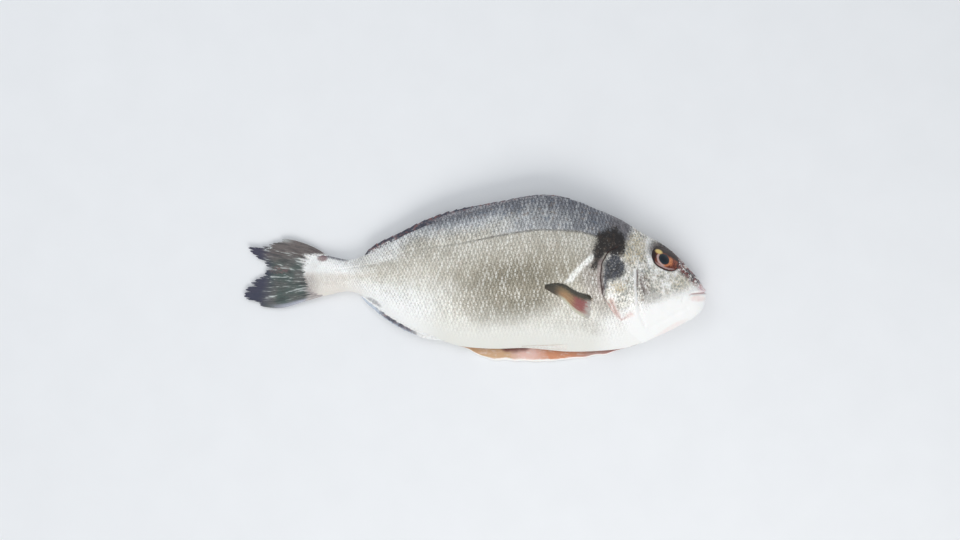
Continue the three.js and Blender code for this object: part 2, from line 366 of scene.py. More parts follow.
def shingle(u, v):
    """How far forward of its scale's free edge each spot is, as a share of the pitch."""
    row = np.floor(v)
    across = v - row
    odd = np.mod(row, 2)
    low = u + 0.5 * odd + SCALE_BULGE * np.sqrt(1 - across**2)
    high = u + 0.5 * (1 - odd) + SCALE_BULGE * np.sqrt(1 - (1 - across) ** 2)
    return np.minimum(low - np.floor(low), high - np.floor(high))


def scaled_share(x, y):
    """1 where scales show in full, less on the cheek, and 0 on the bare snout and jaw."""
    low_jaw = ease(x, 92, 104) * (1 - ease(y, -26, -14))
    return np.clip(1 - ease(x, 108, 118) - low_jaw, 0, 1)


# ---- Meshes ----


class Grid:
    """Rings of points that become a mesh, with values at its points for the materials to read."""

    def __init__(self, points):
        self.points = np.asarray(points, float)
        self.values = {}
        self.merged = np.arange(self.points[..., 0].size).reshape(self.points.shape[:2])

    def faces(self):
        """Corner numbers of each square, and its place in the grid."""
        rows, columns = self.merged.shape
        i, j = np.meshgrid(np.arange(rows - 1), np.arange(columns), indexing="ij")
        i, j = i.ravel(), j.ravel()
        after = (j + 1) % columns
        ids = self.merged
        squares = np.stack([ids[i, j], ids[i, after], ids[i + 1, after], ids[i + 1, j]], -1)
        return squares, i, j


def unwrapped(grid):
    """Even coordinates from 0 to 1 over a grid, by the mean lengths of its rows and columns."""
    p = grid.points
    along = np.linalg.norm(np.diff(p, axis=0), axis=2).mean(1)
    across = np.linalg.norm(np.diff(np.concatenate([p, p[:, :1]], 1), axis=1), axis=2).mean(0)
    u = np.concatenate([[0], np.cumsum(along)]) / along.sum()
    v = np.concatenate([[0], np.cumsum(across)]) / across.sum()
    return u, v


def fan(grid, end, points, values):
    """Faces that close an end of the grid round a middle point, which it adds."""
    ring = list(dict.fromkeys(grid.merged[end].tolist()))
    centre = len(points)
    points = np.vstack([points, points[ring].mean(0)])
    values = {key: np.vstack([value, value[ring].mean(0)]) for key, value in values.items()}
    faces = [(centre, b, a) if end == 0 else (centre, a, b) for a, b in zip(ring, ring[1:] + ring[:1])]
    return faces, points, values


def seam(grid, end, points, values):
    """Faces that close an end of a thin piece from its top to its bottom."""
    ring = grid.merged[end].tolist()
    half = len(ring) // 2
    pairs = list(zip(ring[:half], ring[:half - 1:-1]))
    faces = [(a, c, d, b) if end == 0 else (a, b, d, c) for (a, b), (c, d) in zip(pairs, pairs[1:])]
    return faces, points, values


def build(name, grid, materials, face_material=None, close=fan):
    """Makes the object: squares over the grid, a cap on each end, and its coordinates."""
    squares, i, j = grid.faces()
    u, v = unwrapped(grid)
    corners = np.stack(
        [np.stack([u[i], v[j]], -1), np.stack([u[i], v[j + 1]], -1),
         np.stack([u[i + 1], v[j + 1]], -1), np.stack([u[i + 1], v[j]], -1)], 1,
    )
    points = grid.points.reshape(-1, 3)
    values = {key: value.reshape(-1, 3) for key, value in grid.values.items()}
    tags = np.zeros(len(squares), int) if face_material is None else face_material(i, j)
    faces, places, slots = [], [], []
    for square, corner, tag in zip(squares.tolist(), corners.tolist(), tags.tolist()):
        kept = [k for k in range(4) if square[k] != square[k - 1]]
        if len(kept) > 2:
            faces.append([square[k] for k in kept])
            places.extend(corner[k] for k in kept)
            slots.append(tag)
    for end in (0, -1):
        cap, points, values = close(grid, end, points, values)
        for face in cap:
            faces.append(face)
            places.extend([(u[end], 0.5), (u[end], 0.49), (u[end], 0.51), (u[end], 0.5)][:len(face)])
            slots.append(int(tags[0 if end == 0 else -1]))
    return mesh_object(name, points, faces, materials, values, places, slots)


def turn_outward(mesh):
    solid = bmesh.new()
    solid.from_mesh(mesh)
    if solid.calc_volume(signed=True) < 0:
        mesh.flip_normals()
    solid.free()


def mesh_object(name, points, faces, materials, values=None, places=None, slots=None):
    """A smooth-shaded object from points in millimetres, without the points that no face uses."""
    used = np.unique(np.concatenate([np.asarray(f) for f in faces]))
    points = np.clip(points, *(np.array(SOLID_BOX) / MM))
    renumber = np.zeros(len(points), int)
    renumber[used] = np.arange(len(used))
    mesh = bpy.data.meshes.new(name)
    mesh.from_pydata((points[used] * MM).tolist(), [], [[int(renumber[k]) for k in f] for f in faces])
    for key, value in (values or {}).items():
        layer = mesh.attributes.new(key, "FLOAT_VECTOR", "POINT")
        layer.data.foreach_set("vector", value[used].astype(np.float32).ravel())
    if places is not None:
        layer = mesh.uv_layers.new(name="OFBake")
        layer.data.foreach_set("uv", np.array(places, np.float32).ravel())
    for material in materials:
        mesh.materials.append(material)
    if slots is not None:
        mesh.polygons.foreach_set("material_index", slots)
    turn_outward(mesh)
    mesh.shade_smooth()
    mesh.update()
    made = bpy.data.objects.new(name, mesh)
    bpy.context.scene.collection.objects.link(made)
    return made


def slab(name, top, bottom, materials, values=None):
    """A closed thin piece between a top and a bottom grid, as one grid that goes round both."""
    round_it = np.concatenate([top, bottom[:, ::-1]], 1)
    grid = Grid(round_it)
    for key, value in (values or {}).items():
        grid.values[key] = np.concatenate([value, value[:, ::-1]], 1)
    return build(name, grid, materials, close=seam)


def placed(piece, replaces=False):
    """Says what the piece rides on, and whether it stands for the solid."""
    if replaces:
        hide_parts(NODE)
    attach(piece, BODY)
    return piece


# ---- Shader maths ----

# Sockets of the Mix node when it mixes colours.
MIX_SHARE = 0
MIX_FROM = 6
MIX_TO = 7
MIX_RESULT = 2


class Value:
    """A shader value. Arithmetic on it adds Math nodes."""

    def __init__(self, paint, socket):
        self.paint = paint
        self.socket = socket

    def __add__(self, other):
        return self.paint.math("ADD", self, other)

    __radd__ = __add__

    def __mul__(self, other):
        return self.paint.math("MULTIPLY", self, other)

    __rmul__ = __mul__

    def __sub__(self, other):
        return self.paint.math("SUBTRACT", self, other)

    def __rsub__(self, other):
        return self.paint.math("SUBTRACT", other, self)

    def __pow__(self, other):
        return self.paint.math("POWER", self, other)

    def __abs__(self):
        return self.paint.math("ABSOLUTE", self)


class Paint:
    """A material round one Principled shader."""

    def __init__(self, name, **constants):
        self.material = bpy.data.materials.new(name)
        self.material.use_nodes = True
        self.tree = self.material.node_tree
        self.shader = self.tree.nodes["Principled BSDF"]
        for key, value in constants.items():
            self.shader.inputs[key.replace("_", " ")].default_value = value

    def node(self, kind, settings=None, sockets=None, output=0):
        """Adds a node: its settings first, then the values or links of its sockets."""
        made = self.tree.nodes.new("ShaderNode" + kind)
        for key, value in (settings or {}).items():
            if key == "stops":
                self.set_stops(made.color_ramp, value)
            else:
                setattr(made, key, value)
        for key, value in (sockets or {}).items():
            self.put(made.inputs[key], value)
        return Value(self, made.outputs[output])

    def set_stops(self, ramp, stops):
        while len(ramp.elements) < len(stops):
            ramp.elements.new(1)
        for element, (place, colour) in zip(ramp.elements, stops):
            element.position = place
            element.color = (*colour, 1)

    def put(self, socket, value):
        if isinstance(value, Value):
            self.tree.links.new(value.socket, socket)
        elif socket.type == "RGBA":
            socket.default_value = (*value[:3], 1)
        else:
            socket.default_value = value

    def feed(self, **sockets):
        """Links what changes over the surface to the shader."""
        for key, value in sockets.items():
            self.put(self.shader.inputs[key.replace("_", " ")], value)
        return self.material

    def math(self, operation, *values):
        return self.node("Math", {"operation": operation}, dict(enumerate(values)))

    def mix(self, a, b, share):
        sockets = {MIX_SHARE: share, MIX_FROM: a, MIX_TO: b}
        return self.node("Mix", {"data_type": "RGBA"}, sockets, output=MIX_RESULT)

    def tone(self, colour, level):
        """The colour made darker or lighter by a level, where 1 leaves it as it is."""
        return self.node("VectorMath", {"operation": "SCALE"}, {0: colour, "Scale": level})

    def scaled(self, vector, factors):
        return self.node("VectorMath", {"operation": "MULTIPLY"}, {0: vector, 1: factors})

    def between(self, value, low, high):
        """0 at low, 1 at high, and smooth between. Low may be the greater."""
        sockets = {"Value": value, "From Min": low, "From Max": high}
        return self.node("MapRange", {"interpolation_type": "SMOOTHSTEP"}, sockets)

    def ramp(self, value, *stops):
        return self.node("ValToRGB", {"stops": stops}, {0: value})

    def read(self, name):
        """The three numbers that the mesh holds under that name."""
        vector = self.node("Attribute", {"attribute_name": name}, output="Vector")
        return self.parts(vector)

    def parts(self, vector):
        split = self.node("SeparateXYZ", {}, {0: vector})
        return [Value(self, socket) for socket in split.socket.node.outputs]

    def vector(self, x=0.0, y=0.0, z=0.0):
        return self.node("CombineXYZ", {}, {0: x, 1: y, 2: z})

    def place(self):
        """Where the spot is, in millimetres."""
        spot = self.node("TexCoord", output="Object")
        return self.scaled(spot, (1 / MM, 1 / MM, 1 / MM))

    def noise(self, place, size, detail=2.0, rough=0.5, squeeze=(1, 1, 1)):
        """Smooth noise from 0 to 1, with features of about that size in millimetres."""
        stretched = self.scaled(place, tuple(k / size for k in squeeze))
        sockets = {"Vector": stretched, "Scale": 1.0, "Detail": detail, "Roughness": rough}
        return self.node("TexNoise", {}, sockets)

    def spot(self, x, y, centre, long, tall, tilt=0):
        """1 in an oval round a centre, fading to 0 at its edge. The tilt is in degrees."""
        turn = math.radians(tilt)
        dx, dy = x - centre[0], y - centre[1]
        along, across = dx, dy
        if tilt:
            along = dx * math.cos(turn) + dy * math.sin(turn)
            across = dy * math.cos(turn) - dx * math.sin(turn)
        return self.between((along * (1 / long)) ** 2 + (across * (1 / tall)) ** 2, 1.0, 0.15)

    def bump(self, height, distance, strength=1.0):
        """A normal from a height, where a height of 1 stands that many millimetres out."""
        sockets = {"Height": height, "Distance": distance * MM, "Strength": strength}
        return self.node("Bump", {}, sockets)


def shade(red, green, blue):
    """A colour from display levels of 0 to 255."""
    levels = [k / 255 for k in (red, green, blue)]
    return tuple(k / 12.92 if k <= 0.04045 else ((k + 0.055) / 1.055) ** 2.4 for k in levels)


# ---- Materials ----


def scale_cells(p, u, v):
    """How far forward of its scale's free edge a spot is, and a number from 0 to 1 for each scale."""
    row = p.math("FLOOR", v)
    across = v - row
    odd = p.math("MODULO", row, 2)
    low = u + odd * 0.5 + (1 - across**2) ** 0.5 * SCALE_BULGE
    high = u + (1 - odd) * 0.5 + (1 - (1 - across) ** 2) ** 0.5 * SCALE_BULGE
    low_part, high_part = p.math("FRACT", low), p.math("FRACT", high)
    on_low = p.math("LESS_THAN", low_part, high_part)
    forward = p.math("MINIMUM", low_part, high_part)
    low_index, high_index = p.math("FLOOR", low), p.math("FLOOR", high)
    index = high_index + (low_index - high_index) * on_low
    cell = p.vector(index, row + 1 - on_low, 0)
    chance = p.node("TexWhiteNoise", {"noise_dimensions": "2D"}, {"Vector": cell})
    return forward, chance


def flank_colour(p, c, x, y, level, line, sway):
    """The flank's colours: grey back, silver-beige sides and white belly, paler towards the tail, with a
    dark line along the top of the tail stem that is partly dark skin and partly painted shade.
    """
    wander = level + sway * 0.1
    front = p.ramp(
        wander, (0, c.belly), (0.1, c.belly), (0.3, c.low_flank), (0.5, c.flank),
        (0.7, c.high_flank), (1, c.high_flank),
    )
    rear = p.ramp(wander, (0, c.belly), (0.34, c.belly), (0.5, c.low_flank), (0.7, c.high_flank))
    rear = p.mix(rear, c.stem, p.between(wander, 0.42, 0.2) * p.between(x, -14, -46))
    side = p.mix(front, rear, p.between(x + sway * 30, 6, -38))
    drift = sway * 16
    side = p.mix(side, c.dusk, p.spot(x + drift, y + drift * 0.5, (27, -7), 47, 25, 14) * 0.62)
    side = p.mix(side, c.dusk, p.spot(x + drift, y - drift * 0.4, (30, -6), 25, 18, 10) * 0.66)
    upper = p.mix(c.back, c.mid_back, p.between(x + sway * 20, 78, 36))
    upper = p.mix(upper, c.rear_back, p.between(x + sway * 24, 36, 4))
    step = p.between(line + sway * 2, -1.2, 1.4) * p.between(x, 4, 34)
    fade = p.between(line + sway * 6, 1, 17)
    colour = p.mix(side, upper, p.math("MAXIMUM", step, fade))
    edge = p.between(level + sway * 0.08, 0.86, 0.985) * p.between(x, -50, -12)
    colour = p.mix(colour, c.back_edge, edge * 0.85)
    pale = p.between(abs(x + 58), 16, 6) * p.between(level, 0.66, 0.8)
    colour = p.mix(colour, c.stem, pale * 0.6)
    stem = p.mix(c.stem_low, c.stem, p.between(level, 0.42, 0.6))
    colour = p.mix(colour, stem, p.between(x + sway * 16, -60, -88))
    # Dark line along the top of the tail stem: partly dark skin, partly painted shade.
    top = p.between(level, 0.9, 0.97) * p.between(x, -78, -86)
    colour = p.mix(colour, c.tail_tip, top * 0.75)
    colour = p.mix(colour, c.tail_red, p.spot(x, y, (-98.5, 13.4), 4.5, 2.6) * 0.8)
    low_root = p.between(x + sway * 12, -97, -112) * p.between(y, 5, 0)
    return p.mix(colour, c.tail_root, low_root * 0.75)


def shoulder_colour(p, c, flank, x, y, gill, sway, grit):
    """Grey-brown skin behind the gill cover, with a painted highlight that slants down its rear edge."""
    mottle = p.mix(c.shoulder, c.band, p.between(grit, 0.5, 0.75))
    near = p.between(gill + sway * 6, -17, -8)
    near = near * p.between(y, -29, -12) * p.between(y + x * 0.5, 62, 50)
    flank = p.mix(flank, mottle, near * 0.85)
    # Painted highlight: a pale band of light slanting down the shoulder's rear edge.
    across = (x - 67) * 0.74 - (y - 6) * 0.67 + sway * 3
    highlight_streak = p.between(abs(across), 2.6, 0.9) * p.between(y, -4, 0) * p.between(y, 18, 13)
    flank = p.mix(flank, c.glint, highlight_streak * 0.8)
    blotch = p.spot(x, y, (76, -31), 12, 6, -20) * p.between(grit, 0.35, 0.65)
    flank = p.mix(flank, c.shoulder, blotch * 0.4)
    throat = p.between(y + sway * 8, -17, -27) * p.between(x + sway * 10, 74, 92)
    return p.mix(flank, c.jaw, throat * (0.75 + (grit - 0.5) * 0.6))


def head_colour(p, c, x, y, place):
    """Speckled cheek, dark brow, white jaw and pink lips."""
    coarse = p.noise(place, 2.6, 3, 0.65)
    stray = coarse - 0.5
    fine = p.noise(place, 1.1, 2, 0.6, squeeze=(1.2, 0.8, 1))
    speckle = p.between(coarse * 0.6 + fine * 0.4, 0.42, 0.58)
    wide = p.noise(place, 7, 3, 0.6, squeeze=(1.3, 0.8, 1))
    dark = p.mix(c.cheek_dark, c.cheek, p.between(wide, 0.36, 0.66) * 0.7)
    cheek = p.mix(dark, p.mix(c.cheek, c.jaw, p.between(wide, 0.4, 0.62)), speckle)
    cheek = p.mix(cheek, c.jaw, p.spot(x + stray * 4, y, (112.5, 17), 3.4, 11) * 0.8)
    dark = p.spot(x + stray * 5, y, (108, -5), 6, 12) * p.between(fine, 0.62, 0.42)
    cheek = p.mix(cheek, c.fold, dark * 0.55)
    cheek = p.mix(cheek, c.brow, p.spot(x + stray * 5, y, (114, -12), 9, 5) * speckle * 0.4)
    cheek = p.mix(cheek, c.jaw, p.between(x + stray * 30, 118, 140) * 0.45 * speckle)
    warm = p.spot(x, y, (102, 20), 11, 14) + p.spot(x, y, (91, -5), 8, 5)
    warm = warm + p.spot(x, y, (133, -2), 9, 7) * 0.6
    cheek = p.mix(cheek, c.gold_cheek, p.math("MINIMUM", warm, 1) * p.between(fine, 0.4, 0.6) * 0.8)
    tint = p.noise(place, 3.2, 2, 0.6)
    cheek = p.mix(cheek, c.fleck_warm, p.between(tint, 0.56, 0.68) * 0.3)
    cheek = p.mix(cheek, c.fleck_cool, p.between(tint, 0.44, 0.32) * 0.3)
    crest = y + x * 0.86 + stray * 7
    red = p.mix(c.brow, c.brow_red, p.between(tint, 0.46, 0.58))
    brow = p.mix(red, p.mix(c.cheek, c.jaw, fine), p.between(coarse * 0.5 + fine * 0.5, 0.5, 0.6))
    cheek = p.mix(cheek, brow, p.between(crest, 115.5, 120.5) * p.between(x, 116, 124))
    jaw = p.between(y + stray * 14 - (x - 112) * 0.32, -11, -20)
    colour = p.mix(cheek, c.jaw, jaw)
    colour = p.mix(colour, c.lip, p.spot(x, y, (148, -6), 5, 3.6) * coarse)
    low_lip = p.spot(x, y, (144, -12.5), 7, 2.6) * coarse
    low_lip = low_lip + p.spot(x, y, (128, -31.5), 14, 2.6, 30) * fine * 0.6
    colour = p.mix(colour, c.pink, low_lip * 0.7)
    # Dark rim over the eye: partly the eyelid's own dark skin, partly painted shade under the brow.
    lid_and_brow_shade = p.spot(x + stray * 2, y + (fine - 0.5) * 2, (120.8, 17), 12.5, 8, -28)
    return p.mix(colour, p.mix(c.eye_rim, c.brow_red, p.between(tint, 0.5, 0.7) * 0.4), lid_and_brow_shade * 0.95)


def skin(c):
    p = Paint(
        "bream_skin", Coat_Roughness=0.24, Coat_IOR=1.35, IOR=1.42,
        Subsurface_Weight=0.05, Subsurface_Radius=(1, 0.5, 0.3), Subsurface_Scale=0.001,
    )
    place = p.place()
    x, y, _ = p.parts(place)
    u, v, scaled = p.read("scales")
    level, line, gill = p.read("lie")
    nape, cover, slit = p.read("marks")
    sway = p.noise(place, 14, 3, 0.6) - 0.5
    grit = p.noise(place, 1.1, 3, 0.65)
    crumb = grit - 0.5
    hue = p.noise(place, 3.4, 2, 0.6)
    forward, chance = scale_cells(p, u, v)

    flank = flank_colour(p, c, x, y, level, line, sway)
    flank = shoulder_colour(p, c, flank, x, y, gill, sway, grit)
    head = head_colour(p, c, x, y, place)
    over_nape = p.between(y + sway * 3, 17, 24)
    on_head = p.between(gill + crumb * 2, -0.4, 0.4) * (1 - over_nape)
    ragged = crumb * 6 + sway * 12
    past_nape = p.between(x + ragged - (y - 26) * 0.3, 96, 101) * p.between(y, 14, 18)
    colour = p.mix(flank, head, p.math("MAXIMUM", on_head, past_nape))

    on_back = p.between(line, -3, 8)
    shown = scaled * p.between(level, 0.02, 0.3)
    # Scale tone: each scale lighter or darker at random with a darker pigmented edge, plus painted shade
    # where the next scale's raised edge lies over it and a fine painted sparkle of light.
    bright = p.between(forward, 0.04, 0.24) * p.between(forward, 0.9, 0.46)
    contrast = shown * (0.75 + on_back * 0.5) * p.between(x, -120, -60)
    spark = p.noise(place, 0.75, 2, 0.7, squeeze=(1.25, 0.8, 1))
    tone = (bright - 0.52) * 0.5 + (chance - 0.5) * 0.34 + (spark - 0.5) * 1.9
    colour = p.tone(colour, 1 + tone * contrast)
    # Painted glints: pale highlights of light on scattered scales.
    pale = p.between(chance * 0.25 + spark * 0.6 + bright * 0.2, 0.58, 0.78) * shown
    colour = p.mix(colour, c.glint, pale * (0.5 - on_back * 0.16))
    colour = p.mix(colour, c.fleck_warm, p.between(hue, 0.58, 0.72) * contrast * 0.3)
    colour = p.mix(colour, c.fleck_cool, p.between(hue, 0.42, 0.28) * contrast * on_back * 0.45)

    along = p.between(p.math("PINGPONG", u, 0.5), 0.1, 0.3)
    trace = p.between(abs(line + crumb * 1.6), 0.7, 0.25) * p.between(x, -40, 10)
    broken = p.between(hue + spark, 0.82, 1.08) * 0.6 + 0.2
    colour = p.mix(colour, c.line, trace * (0.5 + along * 0.5) * broken * p.between(gill, -4, -9))

    ragged = crumb * 7 + sway * 8 + (chance - 0.5) * 2.6 * scaled
    shade_over = p.between(x + ragged * 0.6, 84, 92) * p.between(y + ragged * 0.6, 14, 20)
    dapple = p.mix(c.nape_shade, c.nape_patch, p.between(grit + (hue - 0.5) * 0.6, 0.58, 0.4) * 0.8)
    colour = p.mix(colour, dapple, shade_over * (1 - past_nape) * (0.75 + crumb * 0.8))
    blotch = p.between(nape + ragged, -1.6, 1.2) * (0.98 - p.between(grit, 0.56, 0.72) * 0.35)
    colour = p.mix(colour, p.mix(c.nape_patch, c.nape_brown, p.between(hue, 0.5, 0.66)), blotch)
    blotch = p.between(cover + ragged * 0.75, -1.6, 1.4) * (0.98 - p.between(grit, 0.5, 0.7) * 0.35)
    colour = p.mix(colour, p.mix(c.cover_patch, c.nape_patch, p.between(hue, 0.42, 0.64) * 0.6), blotch)
    # Along the gill cover's edge: the gills' dark red, with painted shade where the cover stands over the
    # body.
    cover_edge_shade = p.between(abs(gill - 0.4), 1, 0.4) * p.between(y, -13, -9) * p.between(y, 10, 4)
    colour = p.mix(colour, c.slit, cover_edge_shade * (0.4 + grit * 0.5))
    veil = p.between(abs(gill + 1.8), 1.8, 0.7) * p.between(y, -14, -6) * p.between(y, 15, 11)
    colour = p.mix(colour, c.veil, veil * p.between(grit, 0.3, 0.7) * 0.8)
    seam = p.between(abs(gill + 0.3), 1, 0.2) * p.between(y, -13, -17) * p.between(y, -27, -21)
    colour = p.mix(colour, c.seam, seam * 0.4)
    front_fold, rear_fold, mouth = p.read("folds")
    branch, _, _ = p.read("branch")
    blush = p.between(branch + crumb * 5, 2.8, 0) * p.between(y, -29, -22)
    colour = p.mix(colour, c.pink, blush * 0.5)
    # Painted shade in the groove of the gill branch.
    brown = p.between(branch + crumb * 2, 0.9, 0.1) * p.between(x, 101, 96)
    colour = p.mix(colour, c.seam, brown * 0.55)
    # Painted shade in the cheek's two grooves.
    fold = p.between(front_fold + crumb, 1.1, 0.3) * p.between(y, -8, -1)
    fold = fold + p.between(rear_fold + crumb * 1.6, 1.5, 0.3) * 0.8
    colour = p.mix(colour, c.fold, fold * 0.8)
    behind = p.between(x + y * 0.1, 104.8, 103.8) * p.between(y, -29, -23) * p.between(y, 8, 5)
    ridge = p.between(abs(front_fold - 1.6), 1.4, 0.5) * behind
    colour = p.mix(colour, c.jaw, ridge * (0.6 + grit * 0.4))
    colour = p.mix(colour, c.lip_line, p.between(mouth, 0.8, 0.2) * p.between(x, 135, 142) * 0.5)
    end = p.spot(x, y, (-65, -15.2), 7, 2.4, -32) * p.between(grit, 0.2, 0.55)
    colour = p.mix(colour, c.anal_fin, end * 0.6)
    # Inside the gill slit: white and pink low down, above that the gills' dark red, darkened as painted
    # shade in the slit.
    inside_slit = p.mix(p.mix(c.jaw, c.pink, p.between(y, -27, -20)), c.slit, p.between(y, -19, -11))
    colour = p.mix(colour, inside_slit, slit)

    height = (1 - forward) * (0.8 + chance * 0.4) * scaled + grit * 0.5
    return p.feed(
        Base_Color=colour,
        Metallic=shown * 0.12,
        Roughness=0.5 + crumb * 0.4 - bright * shown * 0.14,
        Coat_Weight=0.2 + sway * 0.24,
        Normal=p.bump(height, 0.16, 0.75),
    )


def fin_base(name):
    """A fin's material, the spot's place, the fin's own coordinates, and its grit."""
    p = Paint(
        name, Coat_Roughness=0.25, IOR=1.42, Coat_Weight=0.25,
        Subsurface_Weight=0.06, Subsurface_Radius=(1, 0.6, 0.4), Subsurface_Scale=0.0008,
    )
    across, along, _ = p.read("fin")
    place = p.place()
    return p, place, across, along, p.noise(place, 1, 3, 0.6)


def fin_patches(p, place):
    return p.noise(place, 9, 2, 0.5)


def fin_finish(p, colour, grit, ray, depth=0.14):
    return p.feed(
        Base_Color=p.tone(colour, 0.72 + grit * 0.56),
        Roughness=0.42 + grit * 0.2,
        Normal=p.bump(grit * 0.5 + ray * 0.6, depth, 0.7),
    )


def ray_streaks(p, across, along, rays, stretch, low, high):
    """Pale dashes that run along the rays, and the rays' own ridges."""
    lines = p.vector(across * rays, along * stretch, 0)
    run = p.node("TexNoise", {}, {"Vector": lines, "Scale": 1.6, "Detail": 3, "Roughness": 0.65})
    ray = abs(p.math("SINE", across * (rays * math.pi)))
    return p.between(run, low, high), run, ray


def tail_paint(c, rays):
    """Navy tips, green-grey membranes, pale dashes on the rays, and the scales' edge at the root."""
    p, place, across, along, grit = fin_base("tail_fin_skin")
    soft = fin_patches(p, place)
    x, y, _ = p.parts(place)
    dash, run, ray = ray_streaks(p, across, along, rays, 2.4, 0.54, 0.64)
    colour = p.mix(c.tail_grey, c.tail_green, p.between(soft, 0.35, 0.65))
    colour = p.mix(colour, c.tail_brown, p.between(y + (soft - 0.5) * 10, 8, 18) * 0.8)
    colour = p.mix(colour, c.fin_dark, p.between(run, 0.5, 0.34) * 0.6)
    tips = p.between(x + (soft - 0.5) * 8 + abs(y - 5) * 0.25, -125, -138)
    colour = p.mix(colour, c.tail_tip, tips * 0.85)
    colour = p.mix(colour, c.tail_red, p.spot(x, y, (-127, 6), 9, 3.6) * p.between(grit, 0.4, 0.62) * 0.5)
    middle = p.between(abs(across - 0.55), 0.42, 0.3) * p.between(x, -139, -133)
    colour = p.mix(colour, c.fin_streak, dash * middle * (0.5 + ray * 0.4))
    low_rim = p.between(across, 0.94, 0.99) * p.between(x, -136, -122)
    colour = p.mix(colour, c.tail_rim, low_rim * 0.75)
    torn = p.between(across, 0.07, 0.02) * p.between(x, -140, -132) * p.between(x, -116, -124)
    flecks = p.spot(x, y, (-134, 20), 3.4, 2.6) * p.between(grit, 0.5, 0.6)
    colour = p.mix(colour, c.fin_streak, p.math("MAXIMUM", torn * 0.5, flecks))
    lower = p.between(y, 4, -2)
    root = x + (run - 0.5) * 14 - lower * 2
    mottle = p.mix(c.stem, c.tail_root, p.between(grit + (soft - 0.5) * 0.5, 0.5, 0.7) * 0.8)
    mottle = p.mix(mottle, c.tail_root, lower * 0.8)
    colour = p.mix(colour, mottle, p.between(root, -113, -108) * p.between(y + (grit - 0.5) * 4, 17, 15))
    return fin_finish(p, colour, grit, ray)


def folded_base(name, dark, warm, pale, rays, dashes):
    """A folded fin's skin: dark, with warm flecks and pale dashes on its rays."""
    p, place, across, along, grit = fin_base(name)
    dash, _, ray = ray_streaks(p, across, along, rays, 1.4, 0.52, 0.64)
    fleck = p.noise(place, 2.2, 2, 0.6)
    colour = p.mix(dark, warm, p.between(fleck, 0.5, 0.66))
    colour = p.mix(colour, pale, dash * dashes)
    return p, colour, p.parts(place)[0], along, fleck, grit, ray


def back_fin_paint(c):
    """Dark outer edge and, inside it, the mottled skin that the folded rays lie on."""
    p, colour, x, along, fleck, grit, ray = folded_base(
        "back_fin_skin", c.back_fin, c.back_fin_warm, c.back_fin_pale, 26, 0.35
    )
    inner = p.between(along + (fleck - 0.5) * 0.5 - p.between(x, -24, 12) * 0.25, 0.62, 0.4)
    mottled = p.mix(c.back_edge, c.back_fin_pale, p.between(grit, 0.42, 0.6))
    colour = p.mix(colour, mottled, inner * p.between(x + (fleck - 0.5) * 20, -34, -16))
    line = p.between(abs(along - 0.5 + (grit - 0.5) * 0.4), 0.22, 0.08) * p.between(fleck, 0.42, 0.56)
    colour = p.mix(colour, c.back_fin_warm, line * 0.25)
    frayed = p.between(x, -48, -56) * p.between(along, 0.5, 0.2) * p.between(grit, 0.42, 0.55)
    colour = p.mix(colour, c.stem, frayed * 0.8)
    return fin_finish(p, colour, grit, ray)


def anal_fin_paint(c):
    """Grey core between the belly's white skin and a pale thin edge, and a white front end."""
    p, colour, x, along, fleck, grit, ray = folded_base(
        "anal_fin_skin", c.anal_fin, c.anal_fin_dark, c.anal_fin_pale, 14, 0.3
    )
    colour = p.mix(colour, c.anal_fin_warm, p.between(fleck, 0.5, 0.36) * 0.6)
    rim = p.between(along + (grit - 0.5) * 0.3, 0.66, 0.92)
    rim = p.math("MAXIMUM", rim, p.between(x + (fleck - 0.5) * 6, -57, -65))
    colour = p.mix(colour, c.anal_fin_pale, rim * 0.85)
    white = p.between(along + (fleck - 0.5) * 0.5, 0.3, 0.08) + p.between(x + (fleck - 0.5) * 14, -43, -31)
    colour = p.mix(colour, c.stem, p.math("MINIMUM", white, 1) * 0.9)
    return fin_finish(p, colour, grit, ray)


def pectoral_paint(c):
    """Olive-black tip and upper edge, brown middle, red root, and a pale green lower edge."""
    p, _, across, along, grit = fin_base("pectoral_skin")
    dash, run, ray = ray_streaks(p, across, along, PECTORAL_RAYS, 2, 0.5, 0.66)
    colour = p.mix(c.pectoral_middle, c.pectoral_warm, p.between(across + (run - 0.5), 0.3, 0.7) * 0.7)
    root = p.between(along + (run - 0.5) * 0.3, 0.48, 0.3) * p.between(across, 0.1, 0.36)
    colour = p.mix(colour, c.pectoral_root, root * 0.9)
    colour = p.mix(colour, c.pectoral_pale, dash * p.between(across, 0.4, 0.9) * 0.5)
    low_edge = p.between(across + (run - 0.5) * 0.2, 0.76, 0.94) * p.between(along, 0.86, 0.6)
    colour = p.mix(colour, c.pectoral_pale, low_edge * 0.9)
    top = p.between(across + (grit - 0.5) * 0.24, 0.36, 0.14) * p.between(along, 0, 0.06)
    tip = p.between(along + (run - 0.5) * 0.2, 0.6, 0.84)
    colour = p.mix(colour, c.pectoral, p.math("MAXIMUM", top, tip) * 0.95)
    skin_end = p.between(along + (grit - 0.5) * 0.2 + (run - 0.5) * 0.3, 0.2, 0.04)
    colour = p.mix(colour, p.mix(c.shoulder, c.band, grit), skin_end * p.between(across, 0.12, 0.3))
    return fin_finish(p, colour, grit, ray)


def pelvic_paint(c):
    """Pale fin with faint rays and a thin darker line along its inner edge."""
    p, place, across, along, grit = fin_base("pelvic_skin")
    dash, _, ray = ray_streaks(p, across, along, PELVIC_RAYS, 2, 0.5, 0.66)
    colour = p.mix(c.pelvic, c.belly, p.between(fin_patches(p, place), 0.4, 0.6))
    colour = p.mix(colour, c.pelvic_streak, dash * 0.25)
    inner = p.between(across + (grit - 0.5) * 0.1, 0.16, 0.04) * p.between(along, 0.35, 0.7)
    colour = p.mix(colour, c.pelvic_streak, inner * 0.7)
    return fin_finish(p, colour, grit, ray)


